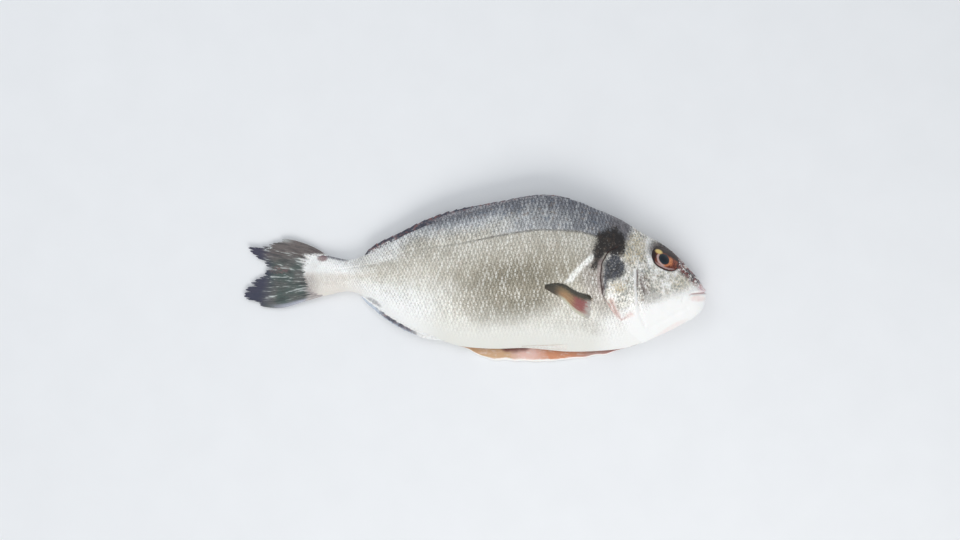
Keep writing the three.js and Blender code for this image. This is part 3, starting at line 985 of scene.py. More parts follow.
def lining(c):
    """The inside of the belly wall: pale cut rim, tan, pink and orange lining, and the cavity's dark red,
    deepened as painted shade deep in the pocket.
    """
    p = Paint(
        "belly_lining", Coat_Roughness=0.12, IOR=1.4,
        Subsurface_Weight=0.15, Subsurface_Radius=(1, 0.4, 0.25), Subsurface_Scale=0.002,
    )
    place = p.place()
    x, _, _ = p.parts(place)
    depth, _, _ = p.read("cut")
    soft = p.noise(place, 7, 3, 0.6)
    grit = p.noise(place, 1.6, 3, 0.6, squeeze=(0.35, 1, 1))
    wander = (x + (soft - 0.5) * 12 + 12) * (1 / 110)
    colour = p.ramp(
        wander, (0, c.lining_pink), (0.1, c.lining_tan), (0.3, c.lining_tan), (0.38, c.lining_pink),
        (0.46, c.lining_pink), (0.56, c.lining_orange), (0.68, c.lining_orange), (0.8, c.seam),
        (1, c.blood),
    )
    colour = p.mix(colour, c.rim, p.between(grit, 0.5, 0.75) * 0.35)
    # The cavity's dark red flesh, with painted shade where it lies deep in the pocket.
    dark_from = 0.36 - p.spot(x, 0 * x, (27, 0), 13, 9) * 0.085
    hollow = p.between(depth - dark_from + (soft - 0.5) * 0.06, 0, 0.06)
    colour = p.mix(colour, c.cavity, hollow)
    rim_width = p.between(depth + (soft - 0.5) * 0.08, 0.17, 0.22)
    colour = p.mix(c.rim, colour, rim_width)
    colour = p.mix(colour, c.rim, p.between(depth, 0.88, 0.95))
    return p.feed(
        Base_Color=colour,
        Roughness=0.32 + grit * 0.2,
        Coat_Weight=0.35 + soft * 0.3,
        Normal=p.bump(grit, 0.3, 0.6),
    )


def eye_paint(c):
    """Dark blue pupil, pale inner ring, copper iris with a gold fleck, and a dark brown rim."""
    p = Paint(
        "bream_eye", Coat_Weight=0.5, Coat_Roughness=0.03, Coat_IOR=1.38, IOR=1.38, Roughness=0.3,
    )
    a, b, out = p.read("eye")
    far = (a**2 + b**2) ** 0.5
    place = p.place()
    grit = p.noise(place, 0.8, 3, 0.6)
    soft = p.noise(place, 3, 2, 0.5)
    colour = p.mix(c.iris, c.iris_deep, p.between(grit + (soft - 0.5), 0.35, 0.65))
    light = p.spot(a, b, (5, 0.5), 2.2, 4.4) * p.between(grit, 0.35, 0.6)
    colour = p.mix(colour, c.iris_light, light * 0.9)
    # The eye's upper part darkened as painted shade under the brow.
    colour = p.mix(colour, c.eye_rim, p.between(b + a * 0.12 + (grit - 0.5) * 3, 2.6, 5.2) * 0.95)
    colour = p.mix(colour, c.eye_rim, p.between(a + (grit - 0.5) * 3, -4.6, -6.6) * 0.95)
    ring = p.between(abs(far - 4.5 - (soft - 0.5)), 0.9, 0.3)
    low = p.between(a + b * 0.5 + (grit - 0.5) * 3, -0.4, -3.2)
    colour = p.mix(colour, c.iris_light, ring * p.between(b, 3.4, 1) * 0.6)
    colour = p.mix(colour, c.eye_ring, ring * low * 0.8)
    brim = p.between(abs(out - 0.86), 0.1, 0.03) * p.between(b, -3, -5.2)
    colour = p.mix(colour, c.eye_ring, brim * 0.55)
    colour = p.mix(colour, c.gold, p.spot(a, b, (-3.9, 4.6), 3.1, 2.4) * p.between(grit, 0.25, 0.4))
    colour = p.mix(colour, c.eye_rim, p.between(out + (grit - 0.5) * 0.3, 0.88, 0.98) * 0.85)
    pupil = p.mix(c.pupil, c.pupil_edge, p.between(far, 1.6, 3.6) * 0.6)
    colour = p.mix(colour, pupil, p.between(far, 3.95, 3.55))
    return p.feed(Base_Color=colour)


# ---- The body and its cut belly ----

SKIN_SINK = 0.14
BODY_RINGS = 400
UPPER_COLUMNS = 150
UNDER_COLUMNS = 52
CUT_COLUMNS = 30
STEM_SHEATH = 8


def gill_x(eta):
    """Where the gill cover's free edge is, at a share of the way across the flank."""
    points = sorted((float(eta_of(x, y)), x) for x, y in GILL_EDGE)
    return np.interp(eta, [e for e, _ in points], [x for _, x in points])


def slit_share(eta):
    """1 where the gill cover is free of the body, 0 over the nape where it has grown to it."""
    return (1 - ease(eta, 0.4, 0.56)) * lerp(0.35, 1, ease(eta, -0.6, -0.25))


def open_share(x):
    """How far the belly cut gapes along its length."""
    return ease(x, CUT_REAR_X, 6) * (1 - ease(x, 86, CUT_FRONT_X))


def held_up(x, y):
    """How high the fins pressed under the fish hold its skin off the surface."""
    height = 0
    for upper, lower in (PECTORAL, LOW_PELVIC):
        leaf = inside(x, y, upper + lower[::-1])
        height = np.maximum(height, 0.75 * ease(leaf, -3, 0.3))
    return height


def lookup(grid, x, eta):
    """Writes what the skin's material reads: scale coordinates, place on the flank and dark patches."""
    y = grid.points[..., 1]
    u, v = scale_place(x, y)
    zero = np.zeros_like(x)
    grid.values["scales"] = np.stack([u, v, scaled_share(x, y)], -1)
    grid.values["lie"] = np.stack([(eta + 1) / 2, y - lateral_line(x), x - gill_x(eta)], -1)
    grid.values["marks"] = np.stack([inside(x, y, NAPE_PATCH), inside(x, y, COVER_PATCH), zero], -1)
    folds = [distance(x, y, line) for line in (PREOPERCLE, SECOND_GROOVE, MOUTH)]
    grid.values["folds"] = np.stack(folds, -1)
    grid.values["branch"] = np.stack([distance(x, y, GILL_BRANCH), zero, zero], -1)


def scale_relief(x, y, level):
    """How far the scales, the lateral line and the flesh under them stand out."""
    sizes = bpy.context.scene.bream_sizes
    u, v = scale_place(x, y)
    share = scaled_share(x, y) * ease(level, 0.03, 0.25)
    scales = (0.5 - shingle(u, v)) * sizes.scale_relief / MM * share
    line = y - lateral_line(x)
    groove = -0.22 * hump(line, 0.55) * ease(x, -106, -95) * (1 - ease(x, 78, 84))
    flesh = 0.3 * ripple(x, y, 46, 1) + 0.12 * ripple(x, y * 0.5, 13, 2)
    return scales + groove + (flesh - SKIN_SINK) * ease(level, 0, 0.2)


def catmull(count, controls):
    """Weights that carry control points to that many points on a smooth line through them."""
    weights = np.zeros((count, controls))
    for row, place in enumerate(np.linspace(0, controls - 1, count)):
        k = min(int(place), controls - 2)
        t = place - k
        four = (
            (-t + 2 * t**2 - t**3) / 2, (2 - 5 * t**2 + 3 * t**3) / 2,
            (t + 4 * t**2 - 3 * t**3) / 2, (t**3 - t**2) / 2,
        )
        for shift, weight in zip((-1, 0, 1, 2), four):
            weights[row, min(max(k + shift, 0), controls - 1)] += weight
    return weights


def low_flap(x):
    """The lower flap's wavy edge."""
    return flap_edge(x) + 0.45 * ripple(x, 0 * x, 15, 3)


def flap_y(x):
    """How far down the skin under the fish reaches: to the flap's edge where the cut gapes."""
    return lerp(belly(x), low_flap(x) + 0.6, open_share(x))


def cut_section(x):
    """The line from the lower flap's edge, in along the pocket's floor, and out to the upper lip."""
    low = low_flap(x)
    lip, keel = belly(x), plane_z(x, -1)
    spot = hump(x - 25, 13)
    wave = 0.5 * ripple(x, 0 * x, 22, 5)
    rows = [
        (low + 0.6, 0 * x), (low, 1.1 + 0 * x), (low + 0.8, 2.1 + 0 * x),
        (lerp(low, lip, 0.45), 2.3 + wave), (lip + 1.5, 1.9 + 0.4 * wave), (lip + 10, 1.8 + 0 * x),
        (lip + 17, 3.2 + 0 * x), (lip + 11, 6.4 + 2 * spot), (lip + 4.5, keel - 0.4 + 1.6 * spot),
        (lip + 1.1, keel - 1.5 + 0.9 * spot), (lip + 0.1, keel - 1.1 + 0.5 * spot), (lip, keel),
    ]
    section = np.stack([np.stack(row, -1) for row in rows], 1)
    closed = np.stack([lip, keel], -1)[:, None]
    return closed + (section - closed) * open_share(x)[:, None, None]


def body_grid():
    ends = np.linspace(0, 1, BODY_RINGS)
    station = lerp(GILL_X + 3.2, TAIL_ROOT_X, ends)
    turns = np.concatenate([
        np.linspace(0, 0.5, UPPER_COLUMNS, endpoint=False),
        np.linspace(0.5, 1 - 1e-7, UNDER_COLUMNS),
    ])
    eta = np.broadcast_to(eta_at(turns), (BODY_RINGS, len(turns)))
    front = (gill_x(eta) - GILL_X) * ease(station, 26, GILL_X)[:, None]
    sheath = STEM_SHEATH * eta**2 * (1 - ease(station, TAIL_ROOT_X, -80))[:, None]
    x = station[:, None] + front + sheath
    points = skin_point(x, turns)
    middle = middle_z(x)
    thin = lerp(0.3, 1, ease(x - TAIL_ROOT_X - STEM_SHEATH * eta**2, -0.5, 11))
    points[..., 2] = lerp(middle, points[..., 2], np.where(x < -80, thin, 1))

    level = (eta + 1) / 2
    under_cover = x - gill_x(eta)
    tucked = -1.0 * ease(under_cover, -1.2, 1.4) * slit_share(eta) - 0.3 * ease(under_cover, -0.4, 1.0)
    hollow = -0.35 * hump(under_cover + 3, 4) * slit_share(eta)
    relief = scale_relief(x, points[..., 1], level) * (1 - ease(under_cover, -1, 0.5))
    stem_end = ease(x - TAIL_ROOT_X - STEM_SHEATH * eta**2, 0, 4)
    lift = (relief + hollow) * stem_end + tucked
    points = points + skin_normal(x, turns) * lift[..., None]

    under = turns >= 0.5
    points[..., 1] += ease(-eta, 0.45, 1) * under * (flap_y(x) - belly(x))
    points[..., 2] *= 1 - ease(-eta, 0.6, 0.97) * under * open_share(x)
    floor = held_up(x, points[..., 1]) * under
    points[..., 2] = np.maximum(points[..., 2], floor)

    keel_x = x[:, 0]
    pocket = catmull(CUT_COLUMNS + 2, 12)[1:-1] @ cut_section(keel_x)
    pocket_x = np.repeat(keel_x[:, None], CUT_COLUMNS, 1)
    grid = Grid(np.concatenate([points, np.concatenate([pocket_x[..., None], pocket], -1)], 1))
    all_x = np.concatenate([x, pocket_x], 1)
    all_eta = np.concatenate([eta, np.full((BODY_RINGS, CUT_COLUMNS), -1.0)], 1)
    lookup(grid, all_x, all_eta)
    in_slit = ease(under_cover, -1.5, -0.5) * ease(slit_share(eta), 0.2, 0.6)
    grid.values["marks"][:, :len(turns), 2] = in_slit
    grid.values["cut"] = np.zeros(grid.points.shape)
    grid.values["cut"][:, len(turns):, 0] = np.linspace(0.02, 0.98, CUT_COLUMNS)
    shut = open_share(keel_x) <= 0
    lip = grid.merged[:, :1]
    grid.merged[:, len(turns) - 1:] = np.where(shut[:, None], lip, grid.merged[:, len(turns) - 1:])
    return grid, len(turns)


def make_body(materials):
    grid, turns = body_grid()

    def in_cut(i, j):
        return ((j >= turns - 1) & (open_share(grid.points[i, 0, 0]) > 0)).astype(int)

    return placed(build("bream_body", grid, materials, in_cut), replaces=True)


# ---- The head ----

HEAD_RINGS = 230
HEAD_COLUMNS = 270

# From inside to the edge: how far ahead of the gill edge, how far out, and whether it lifts with it.
COVER_RIM = [
    (4.0, -1.5, 0), (2.2, -1.0, 0), (1.0, -0.45, 0), (0.15, -0.85, 1), (-0.3, -0.7, 1),
    (-0.45, -0.4, 1), (-0.32, -0.12, 1),
]


def eye_frame():
    """Middle of the upper eye on the closed skin, and its directions forward, up the head and out."""
    x, y = EYE_AT
    step = 1.5
    place = np.array([x, y, float(skin_z(x, y))])
    up = np.array([0, 2 * step, float(skin_z(x, y + step) - skin_z(x, y - step))])
    ahead = np.array([2 * step, 0, float(skin_z(x + step, y) - skin_z(x - step, y))])
    out = np.cross(ahead, up)
    out /= np.linalg.norm(out)
    up /= np.linalg.norm(up)
    ahead = np.cross(up, out)
    turn = math.radians(EYE_TILT)
    return (
        place, ahead * math.cos(turn) + up * math.sin(turn),
        up * math.cos(turn) - ahead * math.sin(turn), out,
    )


def mirrored(points, side):
    """Points of the upper flank, or the same on the lower flank through the middle plane."""
    if side > 0:
        return points
    flipped = points.copy()
    flipped[..., 2] = 2 * plane_z(points[..., 0], eta_of(points[..., 0], points[..., 1])) - points[..., 2]
    return flipped


def eye_reach(points):
    """Distance from the middle of the eye, where 1 is its edge."""
    place, ahead, up, _ = eye_frame()
    offset = points - place
    along, across = np.abs(offset @ ahead / EYE_LONG), np.abs(offset @ up / EYE_TALL)
    return (along**EYE_POWER + across**EYE_POWER) ** (1 / EYE_POWER)


def groove(x, y, line, depth, width):
    return -depth * hump(distance(x, y, line), width)


def head_relief(x, y, level, upper_points):
    sizes = bpy.context.scene.bream_sizes
    relief = groove(x, y, PREOPERCLE, 0.75, 1.0) + groove(x, y, SECOND_GROOVE, 0.4, 0.7)
    relief += groove(x, y, GILL_BRANCH, 0.35, 0.7)
    ridge = distance(x, y, [(px - 2.6, py) for px, py in PREOPERCLE])
    relief += 0.35 * hump(ridge, 2.2)
    mouth = distance(x, y, MOUTH)
    near = ease(x, 138, 142)
    relief += near * (0.5 * hump(mouth - 1.7, 1.0) - hump(mouth, 0.5))
    relief += groove(x, y, LIP_FOLD, 0.4, 0.8) + groove(x, y, JAW_FOLD, 0.35, 1.2)
    for nx, ny, long, tall in NOSTRILS:
        pit = np.hypot((x - nx) / long, (y - ny) / tall)
        relief += 0.3 * hump(pit - 1.5, 0.5) - hump(pit, 0.9)
    reach = eye_reach(upper_points)
    relief += -2.0 * (1 - ease(reach, 0.9, 1.02)) + 0.45 * hump(reach - 1.12, 0.1)
    relief += -0.35 * hump(reach - 1.38, 0.14)
    u, v = scale_place(x, y)
    fine = (0.5 - shingle(u, v)) * 0.7 * sizes.scale_relief / MM * scaled_share(x, y)
    pores = 0.08 * ripple(x, y, 2.6, 4) * ease(x, 96, 110) * ease(y, -16, -8)
    return (relief + pores) * ease(level, 0, 0.1) + fine + 0.12 * ripple(x, y, 12, 6)


def head_grid():
    share = np.linspace(1, 0, HEAD_RINGS)[:-1]
    reach = SNOUT_X - GILL_X
    station = SNOUT_X - reach * lerp(share**2, share, 0.45)
    turns = np.linspace(0, 1, HEAD_COLUMNS, endpoint=False)
    eta = eta_at(turns)[None]
    shift = (gill_x(eta) - GILL_X) * (1 - ease(station, GILL_X, 147))[:, None]
    edge = gill_x(eta)
    free = slit_share(eta)
    lift_at_edge = bpy.context.scene.bream_sizes.cover_lift / MM * free + 0.05
    inner, in_slit = [], []
    for ahead, drop, follows in COVER_RIM:
        x = edge + ahead * lerp(0.45, 1, free)
        height = drop * lerp(0.35, 1, free) + lift_at_edge * follows
        turned = np.broadcast_to(x, (1, HEAD_COLUMNS))
        inner.append(skin_point(turned, turns) + skin_normal(turned, turns) * height[..., None])
        in_slit.append(np.full((1, HEAD_COLUMNS), 1.0 if ahead > 0.1 else 0.15) * free)
    x = station[:, None] + shift
    points = skin_point(x, turns)
    upper = np.where((turns < 0.5)[None, :, None], points, mirrored(points, -1))
    y = points[..., 1]
    level = np.broadcast_to((eta + 1) / 2, x.shape)
    cover = lift_at_edge * hump(x - edge, 11)
    lift = cover + head_relief(x, y, level, upper) * ease(x - edge, -0.2, 1.5)
    points = points + skin_normal(x, turns) * lift[..., None]
    points = np.concatenate([*inner, points])
    points[..., 2] = np.maximum(points[..., 2], 0)
    grid = Grid(points)
    all_x = np.concatenate([np.repeat(edge, len(COVER_RIM), 0), x])
    lookup(grid, all_x, np.broadcast_to(eta, all_x.shape))
    grid.values["marks"][:len(COVER_RIM), :, 2] = np.concatenate(in_slit)
    return grid


def make_head(materials):
    return placed(build("bream_head", head_grid(), materials))


def make_eye(name, side, material):
    """A shallow dome in the socket, with a cornea that bulges over the pupil. The side is 1 or -1."""
    place, ahead, up, out = eye_frame()
    rings, spokes = 40, 96
    radius = np.sin(np.linspace(0.02, 1, rings) * np.pi / 2)[:, None]
    angle = np.linspace(0, 2 * np.pi, spokes, endpoint=False)[None]
    powers = np.abs(np.cos(angle)) ** EYEBALL_POWER + np.abs(np.sin(angle)) ** EYEBALL_POWER
    corner = powers ** (-1 / EYEBALL_POWER)
    a = radius * np.cos(angle) * corner * EYE_LONG * EYEBALL_SHARE
    b = radius * np.sin(angle) * corner * EYE_TALL * EYEBALL_SHARE
    px, py = a - PUPIL_OFFSET[0], b - PUPIL_OFFSET[1]
    cornea = 0.5 * hump(np.hypot(px, py), 4.8)
    dome = EYE_DEEP * ((1 - radius**2.6) - 0.5) + cornea
    points = place + a[..., None] * ahead + b[..., None] * up + (dome + 0 * a)[..., None] * out
    grid = Grid(mirrored(points, side)[::-side])
    grid.values["eye"] = np.stack([px, py, radius + 0 * a], -1)[::-side]
    return placed(build(name, grid, [material]))


# ---- Fins ----

PECTORAL_RAYS = 15
PELVIC_RAYS = 7
FIN_CLEARANCE = 0.02
FIN_LEAST_THICK = 0.12
ROOT_SINK = 2.6


def surface_z(x, y):
    """Height of what the fish lies on."""
    return 0 * x


def fin_sheets(middle, half, name, material, across, along):
    """A closed fin from its middle grid and its half thickness, thin at its outer edges."""
    top, bottom = middle.copy(), middle.copy()
    top[..., 2] += half
    bottom[..., 2] -= half
    bottom[..., 2] = np.maximum(bottom[..., 2], FIN_CLEARANCE)
    top[..., 2] = np.maximum(top[..., 2], bottom[..., 2] + FIN_LEAST_THICK)
    values = {"fin": np.stack([across, along, 0 * across], -1)}
    return slab(name, top, bottom, [material], values)


def tail_patch(s, t):
    """A point of the tail fin: s from the stem to the rear edge, t from the upper to the lower edge."""
    top, low, rear = spline(TAIL_TOP, s), spline(TAIL_LOW, s), spline(TAIL_REAR, t)
    root = lerp(np.array(TAIL_TOP[0]), np.array(TAIL_LOW[0]), t[..., None])
    s, t = s[..., None], t[..., None]
    corners = (
        (1 - s) * ((1 - t) * np.array(TAIL_TOP[0]) + t * np.array(TAIL_LOW[0]))
        + s * ((1 - t) * np.array(TAIL_TOP[-1]) + t * np.array(TAIL_LOW[-1]))
    )
    return (1 - t) * top + t * low + (1 - s) * root + s * rear - corners


def make_tail(material):
    rays = bpy.context.scene.bream_sizes.tail_rays
    steps, columns = 90, 12 * rays
    t = np.linspace(0, 1, columns)[None]
    ray = np.abs(np.sin(np.pi * rays * t))
    fork = np.abs(np.sin(2 * np.pi * rays * t))
    chance = np.random.default_rng(7).uniform(0, 1, 2 * rays + 1)[(t * 2 * rays).astype(int)]
    torn = (1 - ray) ** 2 * 0.05 + (1 - fork) * 0.02 + 0.08 * chance**3
    s = np.linspace(0, 1, steps)[:, None] * (1 - torn)
    t = np.broadcast_to(t, s.shape)
    flat = tail_patch(s, t)
    x, y = flat[..., 0], flat[..., 1]
    split = ease(s, 0.35, 0.7)
    ridge = lerp(ray, np.maximum(0.6 * ray, fork), split) ** 1.5
    rim = 1 - 0.5 * hump(np.minimum(t, 1 - t), 0.02)
    half = lerp(0.95, 0.2, ease(s, 0.15, 0.95)) * (0.5 + 0.5 * ridge) * rim
    wave = ease(s, 0.3, 1) * (0.8 + 0.8 * ripple(x, y, 34, 3) + 0.5 * np.sin(t * 9))
    middle = np.stack([x, y, np.maximum(middle_z(x) + wave * 0.8, half + 0.03)], -1)
    return placed(fin_sheets(middle, half, "tail_fin", material, t, s))


def make_folded(name, edge_points, skin_line, plane, inward, slant, spacing, material):
    """A fin folded down on its rays, which lie over each other along the back or the belly."""
    edge = through(edge_points)
    first, last = edge_points[0][0], edge_points[-1][0]
    steps, rows = 420, 16
    x = np.linspace(first, last, steps)[:, None]
    t = np.linspace(0, 1, rows)[None]
    tips = np.mod((first - x) / spacing, 1)
    span = edge(x) - skin_line(x)
    ragged = 1 - 0.16 * tips * np.ones_like(t) - 0.06 * ripple(x, 0 * x, 5, 2)
    y = skin_line(x) - inward + (inward + span * np.clip(ragged, 0.6, 1.02)) * t
    reach = np.clip((y - skin_line(x)) / np.where(np.abs(span) < 0.3, 0.3, span), -1, 1)
    ray = np.abs(np.cos(np.pi * ((first - x) - slant * reach) / spacing)) ** 2
    taper = ease(first - x, -0.5, 7) * ease(x - last, -0.5, 9)
    half = lerp(1.15, 0.4, t**1.5) * (0.62 + 0.5 * ray) * lerp(0.35, 1, taper)
    middle = np.stack([x + 0 * t, y, np.maximum(plane(x) + 0.25 * ripple(x, y, 11, 4), half + 0.05)], -1)
    across = (first - x) / (first - last) + 0 * t
    return placed(fin_sheets(middle, half, name, material, across, np.maximum(reach, 0)))


def make_laid(name, edges, height, thick, rays, material, lift=0, root_thick=0, sinks=0):
    """A fin laid against the fish, with its rays from root to tip.

    The lift is how far its middle rises off the height, and it sinks in over that share of its length.
    """
    steps, columns = 80, 6 * rays
    s = np.linspace(0, 1, steps)[:, None]
    t = np.linspace(0, 1, columns)[None]
    upper, lower = spline(edges[0], s[:, 0]), spline(edges[1], s[:, 0])
    torn = 1 - 0.05 * (1 - np.abs(np.sin(np.pi * rays * t))) * ease(s, 0.5, 1)
    flat = lerp(upper[:, None], lower[:, None], t[..., None])
    tip = lerp(upper[-1], lower[-1], 0.5)
    flat = tip + (flat - tip) * torn[..., None] if lift else flat
    x, y = flat[..., 0], flat[..., 1]
    ray = np.abs(np.sin(np.pi * rays * t))
    half = thick * lerp(1, 0.45, s) * (0.6 + 0.5 * ray) + root_thick * hump(s, 0.16)
    half = half * (1 - 0.6 * hump(np.minimum(t, 1 - t), 0.06))
    rise = lift * np.sin(np.pi * np.clip(s * 0.9, 0, 1)) * (0.5 + 0.5 * np.sin(np.pi * t))
    z = height(x, y) + half * 0.8 + rise + 0.15 * ripple(x, y, 9, 8) * bool(lift)
    if sinks:
        z = z - ROOT_SINK * (1 - ease(s + 0.02 * ripple(x, y, 6, 5), 0, sinks))
    middle = np.stack([x, y, np.maximum(z, half + 0.02)], -1)
    return placed(fin_sheets(middle, half, name, material, t + 0 * s, s + 0 * t))


# ---- What a user can change ----


def length(name, description, millimetres, low=0.0, high=20.0):
    return bpy.props.FloatProperty(
        name=name, description=description, default=millimetres * MM,
        min=low * MM, max=high * MM, unit="LENGTH", precision=5,
    )


def colour(name, description, *levels):
    return bpy.props.FloatVectorProperty(
        name=name, description=description, default=shade(*levels), min=0, max=1, size=3, subtype="COLOR",
    )


class BreamSizes(bpy.types.PropertyGroup):
    """Sizes of the scales, the gill cover and the fins."""

    scale_pitch: length("Scale pitch", "Length of a scale that shows on the flank", 2.4, 1.0)
    scale_row: length("Scale row", "Distance between rows of scales on the flank", 3.6, 1.0)
    scale_relief: length("Scale relief", "How far a scale's free edge stands out", 0.17)
    cover_lift: length("Gill cover lift", "How far the gill cover's edge stands off the body", 0.8)
    tail_rays: bpy.props.IntProperty(
        name="Tail rays", description="Main rays of the tail fin", default=19, min=9
    )
    back_rays: length("Back ray spacing", "Distance between the folded rays of the back fin", 5.2, 1.0)
    belly_rays: length("Anal ray spacing", "Distance between the folded rays of the anal fin", 4.1, 1.0)


class BreamColours(bpy.types.PropertyGroup):
    """Colours of the skin, the fins, the eyes and the cut belly."""

    back: colour("Back", "Back behind the head", 124, 126, 132)
    mid_back: colour("Middle of the back", "Back above the middle of the flank", 164, 165, 167)
    rear_back: colour("Rear of the back", "Back towards the tail", 214, 217, 221)
    back_edge: colour("Back edge", "Dark skin beside the folded back fin", 92, 94, 104)
    flank: colour("Flank", "Middle of the flank", 170, 163, 147)
    high_flank: colour("High flank", "Flank just under the lateral line", 188, 183, 171)
    low_flank: colour("Low flank", "Flank above the belly", 212, 207, 195)
    dusk: colour("Dusky flank", "Darker place in the middle of the front flank", 134, 127, 110)
    belly: colour("Belly", "Belly", 234, 233, 226)
    stem: colour("Tail stem", "Upper half of the tail stem", 250, 250, 248)
    stem_low: colour("Low tail stem", "Lower half of the tail stem", 232, 226, 218)
    shoulder: colour("Shoulder", "Skin behind the gill cover", 158, 150, 142)
    band: colour("Shoulder mottling", "Pale mottling behind the gill cover", 212, 208, 202)
    veil: colour("Gill membrane", "Thin skin behind the gill cover's edge", 176, 158, 156)
    seam: colour("Gill seam", "Line down the lower edge of the gill cover", 188, 150, 140)
    glint: colour("Scale glint", "Brightest scales", 250, 250, 246)
    fleck_warm: colour("Warm flecks", "Warm tint of scattered scales", 150, 128, 108)
    fleck_cool: colour("Cool flecks", "Blue-grey tint of scattered scales on the back", 104, 116, 132)
    line: colour("Lateral line", "Thin line along the flank", 84, 82, 78)
    nape_patch: colour("Nape patch", "Dark patch above the gill cover", 40, 36, 35)
    nape_shade: colour("Nape shade", "Dark skin between the patch and the head", 120, 116, 120)
    nape_brown: colour("Nape brown", "Brown tint of the patch above the gill cover", 64, 54, 48)
    cover_patch: colour("Cover patch", "Blue-grey patch on the gill cover", 70, 72, 80)
    cheek: colour("Cheek", "Pale specks of the cheek", 232, 228, 218)
    cheek_dark: colour("Cheek specks", "Dark specks of the cheek", 150, 150, 142)
    gold_cheek: colour("Gold cheek", "Yellowish skin behind the eye", 206, 190, 156)
    brow: colour("Brow", "Dark skin over the snout", 84, 74, 76)
    brow_red: colour("Brow red", "Red-brown specks over the snout", 124, 70, 66)
    jaw: colour("Jaw", "Lower jaw and throat", 252, 251, 249)
    lip: colour("Lip", "Lips", 222, 170, 176)
    lip_line: colour("Mouth line", "Line between the lips", 176, 112, 116)
    # Dark specks of the cheek, and the painted shade in its grooves.
    fold: colour("Fold", "Dark folds of the cheek", 108, 92, 88)
    pink: colour("Pink tint", "Pink of the jaw and of the gill cover's edge", 236, 196, 188)
    blood: colour("Blood tint", "Red at the front of the cut", 190, 130, 122)
    # Dark red of the gills, darkened as painted shade in the slit and along the gill cover's edge.
    slit: colour("Gill slit", "Inside of the gill slit", 70, 42, 40)
    fin_dark: colour("Fin shade", "Darkest skin of the fins", 40, 46, 50)
    fin_streak: colour("Fin streaks", "Pale streaks along the rays", 206, 212, 210)
    tail_grey: colour("Tail grey", "Grey skin of the tail fin", 96, 96, 94)
    tail_brown: colour("Tail brown", "Grey-brown skin of the upper lobe", 112, 100, 98)
    tail_root: colour("Tail root", "Grey-pink scales where the stem meets the fin", 158, 148, 146)
    tail_rim: colour("Tail rim", "Pale lavender lower edge of the tail fin", 190, 192, 206)
    tail_green: colour("Tail green", "Greenish skin of the tail fin", 72, 86, 82)
    tail_tip: colour("Tail tips", "Navy tips of the tail fin", 38, 40, 70)
    tail_red: colour("Tail red", "Reddish middle of the tail fin", 134, 96, 98)
    back_fin: colour("Back fin", "Folded back fin", 52, 54, 70)
    back_fin_warm: colour("Back fin flecks", "Reddish flecks of the folded back fin", 124, 84, 84)
    back_fin_pale: colour("Back fin rays", "Pale rays of the folded back fin", 164, 164, 168)
    anal_fin: colour("Anal fin", "Folded anal fin", 108, 108, 118)
    anal_fin_dark: colour("Anal fin shade", "Dark patches of the folded anal fin", 70, 68, 78)
    anal_fin_warm: colour("Anal fin warmth", "Pinkish brown of the folded anal fin", 168, 138, 134)
    anal_fin_pale: colour("Anal fin edge", "Pale edge of the folded anal fin", 206, 216, 228)
    pectoral: colour("Pectoral tip", "Dark olive tip of the pectoral fin", 54, 52, 44)
    pectoral_middle: colour("Pectoral middle", "Brown middle of the pectoral fin", 132, 112, 82)
    pectoral_warm: colour("Pectoral warmth", "Orange-brown membranes of the pectoral fin", 176, 132, 92)
    pectoral_root: colour("Pectoral root", "Red root of the pectoral fin", 142, 74, 76)
    pectoral_pale: colour("Pectoral edge", "Pale green lower edge of the pectoral fin", 206, 206, 186)
    pelvic: colour("Pelvic fins", "Pale pelvic fins", 236, 232, 225)
    pelvic_streak: colour("Pelvic streaks", "Pink-brown rays of the pelvic fins", 208, 176, 160)
    lining_tan: colour("Tan lining", "Lining of the belly wall", 206, 166, 128)
    lining_pink: colour("Pink lining", "Pink lining of the belly wall", 230, 188, 176)
    lining_orange: colour("Orange lining", "Orange lining of the belly wall", 208, 138, 98)
    # Dark red of the cavity, also painted shade deep in the belly pocket.
    cavity: colour("Cavity", "Dark inside of the belly", 112, 46, 32)
    rim: colour("Cut rim", "Pale cut edge of the belly wall", 248, 244, 240)
    iris: colour("Iris", "Copper of the iris", 148, 76, 50)
    iris_deep: colour("Deep iris", "Darker copper of the iris", 88, 40, 30)
    iris_light: colour("Light iris", "Brightest copper of the iris", 226, 146, 98)
    gold: colour("Gold fleck", "Gold fleck behind the pupil", 236, 206, 132)
    eye_ring: colour("Eye ring", "Pale ring round the pupil", 196, 178, 178)
    # The eye's dark edge, also used for painted shade from the brow over the eye.
    eye_rim: colour("Eye rim", "Dark edge of the eye", 36, 22, 20)
    pupil: colour("Pupil", "Pupil", 10, 22, 34)
    pupil_edge: colour("Pupil edge", "Edge of the pupil", 34, 54, 62)
    floor: colour("Floor", "Surface that the fish lies on", 238, 239, 241)


# ---- Operators ----


class BREAM_OT_skin(bpy.types.Operator):
    """Body, gill covers and head, with their scales and the cut belly"""

    bl_idname = "bream.skin"
    bl_label = "Skin"

    def execute(self, context):
        colours = context.scene.bream_colours
        hide = skin(colours)
        make_body([hide, lining(colours)])
        make_head([hide])
        return {"FINISHED"}


class BREAM_OT_eyes(bpy.types.Operator):
    """Right and left eye"""

    bl_idname = "bream.eyes"
    bl_label = "Eyes"

    def execute(self, context):
        colours = context.scene.bream_colours
        material = eye_paint(colours)
        make_eye("eye_right", 1, material)
        make_eye("eye_left", -1, material)
        return {"FINISHED"}


class BREAM_OT_tail_fin(bpy.types.Operator):
    """Forked tail fin with its rays and frayed edge"""

    bl_idname = "bream.tail_fin"
    bl_label = "Tail fin"

    def execute(self, context):
        make_tail(tail_paint(context.scene.bream_colours, context.scene.bream_sizes.tail_rays))
        return {"FINISHED"}


